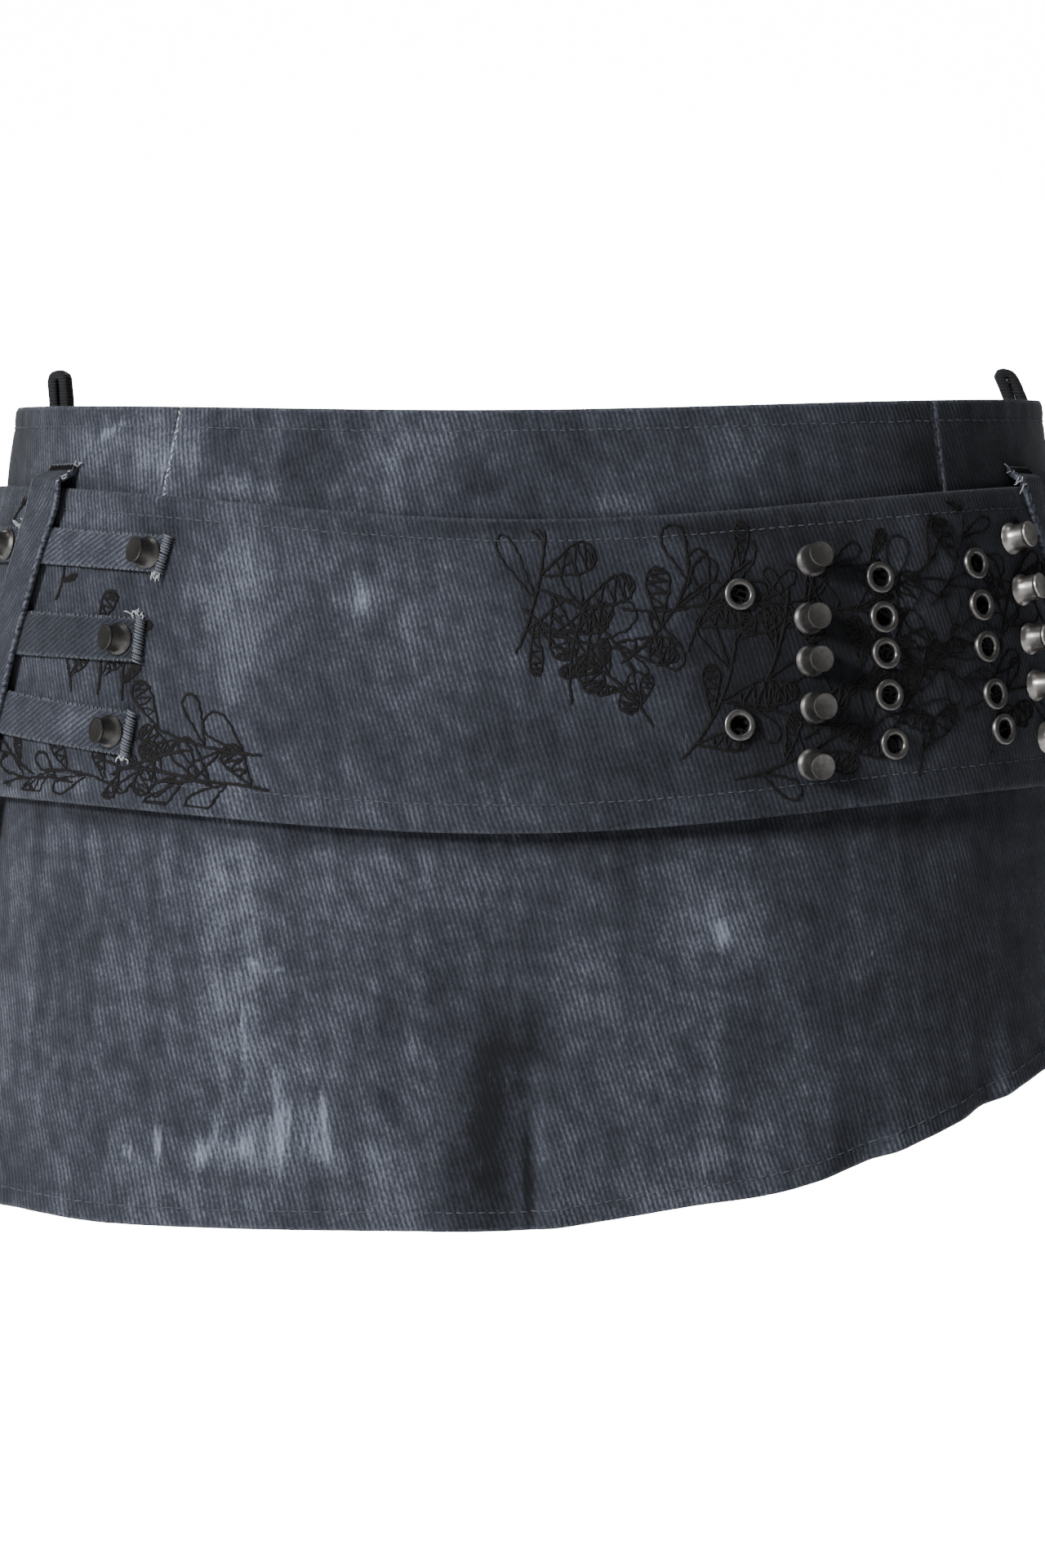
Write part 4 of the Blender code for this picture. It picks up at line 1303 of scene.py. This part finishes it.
# %% Black sprigs
Sprig = namedtuple("Sprig", "across down size lean bend leaves")
SPRIGS = table(
    Sprig,
    (632, 800, 44, 62, 30, 5), (700, 862, 30, 100, -40, 4), (760, 812, 36, 28, 40, 4),
    (835, 930, 40, 40, 45, 5), (842, 800, 34, 75, -45, 4), (900, 955, 36, 10, 25, 4),
    (925, 860, 34, 55, 30, 4), (930, 760, 34, 20, -30, 4), (1030, 950, 34, 62, -35, 4),
    (1040, 850, 30, 30, 40, 4), (1035, 745, 34, 12, 30, 4), (1125, 950, 44, 78, 35, 5),
    (1130, 830, 38, 60, -40, 4), (1140, 740, 34, 40, 50, 4), (1210, 930, 36, 70, 35, 4),
    (1225, 800, 34, 85, -35, 4), (655, 720, 40, -12, -50, 5), (640, 745, 34, -40, 40, 5),
    (760, 745, 38, -10, 35, 4), (800, 890, 30, 120, 40, 4), (880, 720, 30, -30, 50, 4),
    (960, 690, 30, -15, 35, 4), (880, 860, 32, 5, -40, 4), (985, 905, 32, 30, 40, 4),
    (1080, 780, 30, -10, -35, 4), (1085, 900, 34, 45, 30, 4), (1180, 870, 34, 30, -35, 4),
    (1190, 700, 30, -20, 30, 4), (330, 968, 36, 168, 16, 5), (320, 925, 34, 178, -22, 5),
    (258, 962, 30, 160, 20, 5), (236, 918, 26, 185, 20, 4), (150, 968, 28, 150, 35, 4),
    (90, 958, 26, 165, 30, 4), (40, 948, 24, 150, -30, 4), (120, 850, 22, 80, 30, 3),
    (150, 858, 20, 100, -30, 3), (88, 846, 18, 95, 25, 3), (70, 735, 14, 70, 30, 2),
    (14, 640, 14, 60, 30, 2), (10, 740, 16, 85, 20, 2),
)
STITCH_WANDER = 0.32
SEWN_STEP = 0.9
STEM_STEPS = 14
LEAF_STEPS = 12
SPRIG_NARROWS = 0.9
SPRIG_TOP = 0.03
SPRIG_FOOT = 0.975
SPRIG_LAST_TURN = 88


def on_picture(across, down):
    """The turn and height on the belt that the camera sees at a picture pixel."""
    z = -60.0
    turn = 0.0
    for _ in range(6):
        share = belt_share(turn, z)
        depth = ring(turn, z, belt_out(turn, share)).y / 1000 - CAMERA_AT.y
        x = (CAMERA_AT.x + (across - PICTURE_WIDTH / 2) * depth / FOCAL_PIXELS) * 1000
        z = (CAMERA_AT.z + (PICTURE_HEIGHT / 2 - down) * depth / FOCAL_PIXELS) * 1000
        turn = turn_at(x, z, belt_out(turn, share))
    return turn, z


def sewn_line(points):
    """A line through flat points in millimetres, sewn with short uneven steps."""
    line = []
    for (x0, z0), (x1, z1) in zip(points, points[1:]):
        steps = max(1, round(math.hypot(x1 - x0, z1 - z0) / SEWN_STEP))
        for i in range(steps):
            line.append((
                mix(x0, x1, i / steps) + random.uniform(-1, 1) * STITCH_WANDER,
                mix(z0, z1, i / steps) + random.uniform(-1, 1) * STITCH_WANDER,
            ))
    return line


def leaf(base_x, base_z, heading, length):
    """The outline of one leaf, from its base round and back."""
    width = length * random.uniform(0.13, 0.24)
    outline = []
    for i in range(LEAF_STEPS + 1):
        t = i / LEAF_STEPS
        along = math.sin(math.pi * t) ** 0.8 * length
        aside = math.sin(math.tau * t) * width
        outline.append((
            base_x + along * math.cos(heading) - aside * math.sin(heading),
            base_z + along * math.sin(heading) + aside * math.cos(heading),
        ))
    return outline


def sprig_lines(sprig):
    """A bending stem with leaves on both sides, as flat lines in millimetres."""
    heading = math.radians(sprig.lean)
    bend = math.radians(sprig.bend)
    x = z = 0.0
    stem = [(x, z)]
    lines = []
    for _ in range(STEM_STEPS):
        heading += bend / STEM_STEPS
        x += math.cos(heading) * sprig.size / STEM_STEPS
        z += math.sin(heading) * sprig.size / STEM_STEPS
        stem.append((x, z))
    for k in range(sprig.leaves):
        share = (k + 0.8) / (sprig.leaves + 0.3)
        base = stem[round(share * STEM_STEPS)]
        side = 1 if k % 2 else -1
        angle = math.radians(sprig.lean) + bend * share + side * random.uniform(0.6, 1.0)
        length = sprig.size * random.uniform(0.3, 0.48)
        outline = leaf(*base, angle, length)
        lines.append(outline)
        if random.random() < 0.4:
            hatch = []
            for i in range(1, 6):
                hatch += [outline[i], outline[-1 - i]]
            lines.append(hatch)
    return [stem, stem] + lines


def make_sprigs():
    random.seed(5)
    runs = []
    for sprig in SPRIGS:
        turn, z = on_picture(sprig.across, sprig.down)
        facing = outward(turn, z).dot(Vector((0, -1, 0)))
        squeeze = belt_degree(turn, z) / max(0.45, facing)
        for flat in sprig_lines(sprig):
            for _ in range(random.choice((1, 2, 2))):
                run = []
                for x, rise in sewn_line(flat):
                    spot_turn, spot_z = turn + x * squeeze * SPRIG_NARROWS, z + rise
                    share = belt_share(spot_turn, spot_z)
                    if SPRIG_TOP < share < SPRIG_FOOT and spot_turn < SPRIG_LAST_TURN:
                        run.append(on_belt_cloth(spot_turn, spot_z, random.uniform(0.0, 0.22)))
                if len(run) > 2:
                    runs.append(run)
    return threads("belt_black_sprigs", runs, 0.3, BLACK_THREAD, rounding=0)


# %% [markdown]
# The belt is made here, with its straps and sprigs. Its rows lie closer together near the
# edges and the stitches, where the cloth bends most.

# %% Make the belt
BELT_DEGREE = 2.5
BELT_STITCHES = 140


def make_belt():
    holes = [on_belt(turn, z, -BELT_THICK / 2) * MM for turn, z in EYELET_SPOTS]
    straps = make_straps()
    for side, start in (("front", -90), ("back", 90)):
        columns = even_steps(*seam_turns(start, start + 180, 0), CLOTH_STEP / BELT_DEGREE)
        rows = [0, 0.006, 0.014, 0.028, 0.045, 0.058, 0.069, 0.08, 0.1] + even_steps(0.12, 0.87, 0.02)
        rows += [0.885, 0.898, 0.91, 0.922, 0.94, 0.96, 0.978, 0.989, 0.995, 1]
        node = f"belt_{side}"
        material = denim(f"{node}_denim", Look(0.92, 0.9, 0.25, WALE_LEAN))
        punched = holes if side == "front" else ()
        piece, cut = lay(
            node, columns, rows, belt_face, BELT_THICK, material, holes=punched,
        )

        def on_top_row(turn, aside, lift):
            return on_belt_cloth(turn, belt_top(turn) - BELT_STITCH_TOP + aside, lift)

        def on_foot_row(turn, aside, lift):
            z = belt_top(turn) - belt_height(turn) + BELT_STITCH_FOOT + aside
            return on_belt_cloth(turn, z, lift)

        runs = []
        for row in (on_top_row, on_foot_row):
            runs += stitch_row(start + 0.5, start + 179.5, BELT_STITCHES, row)
        extras = [threads(f"{node}_stitches", runs, 0.2, GREY_THREAD)]
        if side == "front":
            extras += straps + [make_sprigs()]
        declare(piece, cut, extras)


# %% [markdown]
# Four wide loops hold the belt: each is sewn to the waistband, goes over the belt, and is
# sewn to the skirt below it. Loose thread ends stand out where the heads are sewn. One
# function says how far a loop stands off at each height, so that it never cuts the belt.

# %% Belt loops
BeltLoop = namedtuple("BeltLoop", "name turn_top turn_foot head over")
BELT_LOOPS = (
    BeltLoop("belt_loop_front_left", -64.2, -76.4, -12.4, STRAP_OUT + STRAP_THICK),
    BeltLoop("belt_loop_front_right", 70.3, 83.0, -12.8, 0),
    BeltLoop("belt_loop_back_right", 146, 148, -6.8, 0),
    BeltLoop("belt_loop_back_left", -146, -148, -7.0, 0),
)
BELT_LOOP_WIDTH = 13.0
BELT_LOOP_THICK = 1.6
BELT_LOOP_SEWN = 1.0
BELT_LOOP_OVER_BY = 2.0
BELT_LOOP_FOOT = 16.0
LOOP_SLIP = {"belt_loop_front_left": 1.1}
LOOP_GATHER = 0.13
LOOP_LEAN = math.radians(28)
LOOP_EDGE_STITCHES = 34
LOOP_BAR_STITCHES = 10
LOOP_LOOSE_ENDS = 8


def loop_out(loop, turn, z):
    """The loop's inner face: on the waistband, out over the belt, and back to the skirt."""
    top = belt_top(turn)
    foot = top - belt_height(turn)
    over = belt_out(turn, belt_share(turn, z)) + SEAM_GAP + loop.over
    if z > top:
        start = loop.head - BELT_LOOP_SEWN
        share = ease((start - z) / (start - top - BELT_LOOP_OVER_BY))
        return mix(BAND_OUT + SEAM_GAP, over, share)
    if z > foot:
        return over
    return mix(SEAM_GAP, over, ease((z - foot + BELT_LOOP_FOOT) / BELT_LOOP_FOOT))


def loop_face(loop, aside, down, lift=0.0):
    """The loop's outer face, gathered at its head and rounded at its edges."""
    gathered = 1 - ease(down / LOOP_GATHER)
    middle = mix(loop.turn_top, loop.turn_foot, down) - LOOP_SLIP.get(loop.name, 0) * gathered
    end = belt_top(middle) - belt_height(middle) - BELT_LOOP_FOOT - BELT_LOOP_SEWN
    z = mix(loop.head, end, down)
    width = BELT_LOOP_WIDTH * (1 + 0.02 * math.sin(down * 23) - 0.18 * gathered)
    turn = middle + math.degrees(aside * width / ring(middle, z).xy.length)
    edge = 0.4 * abs(aside * 2) ** 9
    return ring(turn, z, loop_out(loop, turn, z) + BELT_LOOP_THICK + lift - edge)


def make_belt_loops():
    random.seed(29)
    rows = even_steps(0, 0.1, 0.005) + even_steps(0.115, 0.8, 0.014) + even_steps(0.81, 1, 0.01)
    columns = [i / 24 - 0.5 for i in range(25)]
    for loop in BELT_LOOPS:

        def place(aside, down, loop=loop):
            return loop_face(loop, aside, down)

        material = denim(loop.name + "_denim", Look(0.82, 0.8, 1.1, LOOP_LEAN))
        piece, cut = lay(loop.name, columns, rows, place, BELT_LOOP_THICK, material)
        runs = []
        for edge in (-0.4, 0.4):
            def on_edge(down, aside, lift, loop=loop, edge=edge):
                return loop_face(loop, edge + aside * 0.03, down, lift)

            runs += stitch_row(0.01, 0.99, LOOP_EDGE_STITCHES, on_edge)
        stitches = threads(loop.name + "_stitches", runs, 0.17, GREY_THREAD)
        bar = []
        for i in range(LOOP_BAR_STITCHES + 1):
            aside = mix(-0.47, 0.47, i / LOOP_BAR_STITCHES)
            bar.append([
                loop_face(loop, aside, 0.002, -0.4),
                loop_face(loop, aside + 0.02, 0.006, 0.15),
                loop_face(loop, aside + 0.04, 0.016, 0.15),
                loop_face(loop, aside + 0.05, 0.02, -0.4),
            ])
        head = threads(loop.name + "_bar_stitches", bar, 0.3, BLACK_THREAD)
        extras = [stitches, head, loop_fray(loop)]
        side = "front" if abs(loop.turn_top) < 90 else "back"
        declare(piece, cut, extras)


def loop_fray(loop):
    """White and loose thread ends beside the sewn head."""
    side = 0.5 if loop.turn_top < 0 else -0.5
    runs = []
    for _ in range(LOOP_LOOSE_ENDS):
        start = loop_face(loop, side * random.uniform(0.85, 1.1), random.uniform(0.0, 0.05), 0.1)
        away = Vector((side * 2 * random.uniform(0.1, 0.9), -0.5, random.uniform(-0.9, 0.7)))
        runs.append(curl(start, away.normalized(), Vector((0.5, -0.2, 1)), random.uniform(1.0, 3.0)))
    return threads(loop.name + "_frayed_head", runs, 0.15, WHITE_THREAD)


# %% [markdown]
# The shorts under the skirt are plain: four panels that hang from the waistband seam, with
# a leg each side. They are hidden from the front, and finished all the same. A panel is one
# sheet, as it is one cut on the real garment: its upper part follows the waist, and its lower
# part closes round half of a leg.

# %% Shorts
SHORTS_THICK = 1.0
SHORTS_HALF_GAP = 0.3
SHORTS_TOP = -41.2
SHORTS_FORK = -110.0
SHORTS_CROTCH = -195.0
SHORTS_INSEAM_END = -203.0
SHORTS_SIDE_CROTCH = -148.0
SHORTS_SIDE_END = -152.0
SHORTS_LEG_DEPTH = 88.0
SHORTS_LEG_SPREAD = 3.0
SHORTS_SLANT = 1.15
SHORTS_STEP = 1.8
SHORTS_ROWS_ABOVE = 16
SHORTS_ROWS_FORK = 28
SHORTS_HEM_STITCHES = 34
SHORTS_HEM_DOWN = 2.35
SHORTS_LEG_Z = -190
Inset = namedtuple("Inset", "z inset")
SHORTS_INSETS = (
    Inset(-210, 10.0),
    Inset(-150, 9.0),
    Inset(-110, 4.0),
    Inset(-60, 2.4),
    Inset(-38, SKIRT_THICK + SEAM_GAP + SHORTS_HALF_GAP),
)
Panel = namedtuple("Panel", "name start side face")
SHORTS_PANELS = (
    Panel("shorts_front_left", -90, -1, -1),
    Panel("shorts_front_right", 0, 1, -1),
    Panel("shorts_back_right", 90, 1, 1),
    Panel("shorts_back_left", 180, -1, 1),
)


def shorts_point(panel, turn, down):
    """A quarter of the waist above that turns into half of one leg below."""
    from_middle = abs(wrapped(turn)) / 90
    aside = from_middle if panel.face < 0 else 2 - from_middle
    seat = math.radians(90) * min(max(down - 1, 0), 1)
    leg = 1 - math.cos(seat)
    if down <= 1:
        rise = side = mix(SHORTS_TOP, SHORTS_FORK, down)
    elif down <= 2:
        rise = mix(SHORTS_FORK, SHORTS_CROTCH, math.sin(seat))
        side = mix(SHORTS_FORK, SHORTS_SIDE_CROTCH, down - 1)
    else:
        rise = mix(SHORTS_CROTCH, SHORTS_INSEAM_END, down - 2)
        side = mix(SHORTS_SIDE_CROTCH, SHORTS_SIDE_END, down - 2)
    z = mix(rise, side, ease(aside * SHORTS_SLANT))
    inset = smooth(SHORTS_INSETS, z, "inset")
    waist = ring(turn, z, -inset)
    spread = SHORTS_LEG_SPREAD * max(down - 2, 0)
    outer = smooth(FIGURE, z, "half_width") - inset
    round_leg = math.pi * aside
    across = mix(spread, outer, (1 - math.cos(round_leg)) / 2)
    depth = SHORTS_LEG_DEPTH * math.sin(round_leg)
    point = waist.lerp(Vector((panel.side * across, panel.face * depth, z)), leg)
    return point + Vector((panel.side, panel.face, 0)) * SHORTS_HALF_GAP


def make_shorts():
    random.seed(31)
    rows = even_steps(0, 1, 1 / SHORTS_ROWS_ABOVE) + even_steps(1, 2, 1 / SHORTS_ROWS_FORK)[1:]
    rows += [2.2, 2.4, 2.6, 2.8, 3]
    for panel in SHORTS_PANELS:
        columns = even_steps(panel.start, panel.start + 90, SHORTS_STEP)

        def place(turn, down, panel=panel):
            return shorts_point(panel, turn, down)

        material = denim(panel.name + "_twill", Look(0.34, 0.5, 0.4, WALE_LEAN))
        piece, cut = lay(
            panel.name, columns, rows, place, SHORTS_THICK, material,
        )

        def on_leg(turn, aside, lift, panel=panel):
            away = outward(turn, SHORTS_LEG_Z)
            return shorts_point(panel, turn, SHORTS_HEM_DOWN) + away * lift

        runs = stitch_row(panel.start + 3, panel.start + 87, SHORTS_HEM_STITCHES, on_leg)
        hem = threads(panel.name + "_hem_stitches", runs, 0.18, BLACK_THREAD)
        side = "front" if panel.face < 0 else "back"
        declare(piece, cut, [hem])


# %% [markdown]
# Everything is made here, one kind of piece after another. Each maker sets its own seed before
# it draws a random number, so the stitches and loose ends fall the same way in every run.

# %% Make the pieces
make_skirt()
make_waistband()
make_belt()
make_metal()
make_belt_loops()
make_shorts()

# %% [markdown]
# The stage is a pale floor that curves up into a wall, with no corner to catch the eye. The
# part of the wall behind the garment glows, as the lit paper of a catalogue does. A lamp
# from the upper left does most of the work, and the right side of the cloth turns dark.

# %% Stage and light
FLOOR_Z = -0.7
CURVE_START = 2.6
WALL_CURVE = 0.9
PAPER_GLOW = 14.0
GLOW_HALF_WIDTH = 0.5
GLOW_RISE = 0.8
FLOOR_FRONT = -3.2
WALL_TOP = 3.2
FLOOR_WIDTH = 7
LIGHT_AIM = Vector((0, 0, -0.1))
SKY_STRENGTH = 0.14


def paper_material():
    """Matt white paper whose far middle part glows."""
    paper = Shader("pale_paper")
    paper.colour((0.9, 0.9, 0.9))
    paper.rough(0.9)
    aside = paper.add("ShaderNodeSeparateXYZ", {}, {0: paper.solid()})
    depth = Value(paper, aside.socket.node.outputs[1])
    back = depth.ramp(CURVE_START - GLOW_RISE, CURVE_START)
    middle = 1 - aside.math("ABSOLUTE").ramp(GLOW_HALF_WIDTH, GLOW_HALF_WIDTH * 1.8)
    glow = paper.blend((0, 0, 0), (1, 1, 1), middle * back)
    paper.feed(paper.surface.inputs["Emission Color"], glow)
    paper.surface.inputs["Emission Strength"].default_value = PAPER_GLOW
    return paper.material


def make_stage():
    form = bmesh.new()
    profile = [(FLOOR_FRONT, FLOOR_Z)]
    for step in range(0, 91, 6):
        angle = math.radians(step)
        profile.append((
            CURVE_START + WALL_CURVE * math.sin(angle),
            FLOOR_Z + WALL_CURVE - WALL_CURVE * math.cos(angle),
        ))
    profile.append((CURVE_START + WALL_CURVE, WALL_TOP))
    line = [form.verts.new((-FLOOR_WIDTH / 2, y, z)) for y, z in profile]
    edges = [form.edges.new(pair) for pair in zip(line, line[1:])]
    swept = bmesh.ops.extrude_edge_only(form, edges=edges)["geom"]
    moved = [item for item in swept if isinstance(item, bmesh.types.BMVert)]
    bmesh.ops.translate(form, verts=moved, vec=(FLOOR_WIDTH, 0, 0))
    bmesh.ops.recalc_face_normals(form, faces=form.faces)
    shaped("floor", form, paper_material())


def make_lamp(name, place, size, power):
    data = bpy.data.lights.new(name, "AREA")
    data.shape = "DISK"
    data.size = size
    data.energy = power
    lamp = linked(name, data)
    lamp.location = place
    aim = LIGHT_AIM - Vector(place)
    lamp.rotation_euler = aim.to_track_quat("-Z", "Y").to_euler()


make_stage()
make_lamp("key", (-2.0, -2.1, 0.95), 0.7, 112)
make_lamp("fill", (1.4, -2.4, 0.3), 1.6, 2.5)
make_lamp("top", (-0.3, -0.4, 2.2), 1.0, 7)
world = bpy.data.worlds.new("soft_sky")
world.use_nodes = True
world.node_tree.nodes["Background"].inputs["Color"].default_value = (1, 1, 1, 1)
world.node_tree.nodes["Background"].inputs["Strength"].default_value = SKY_STRENGTH
bpy.context.scene.world = world
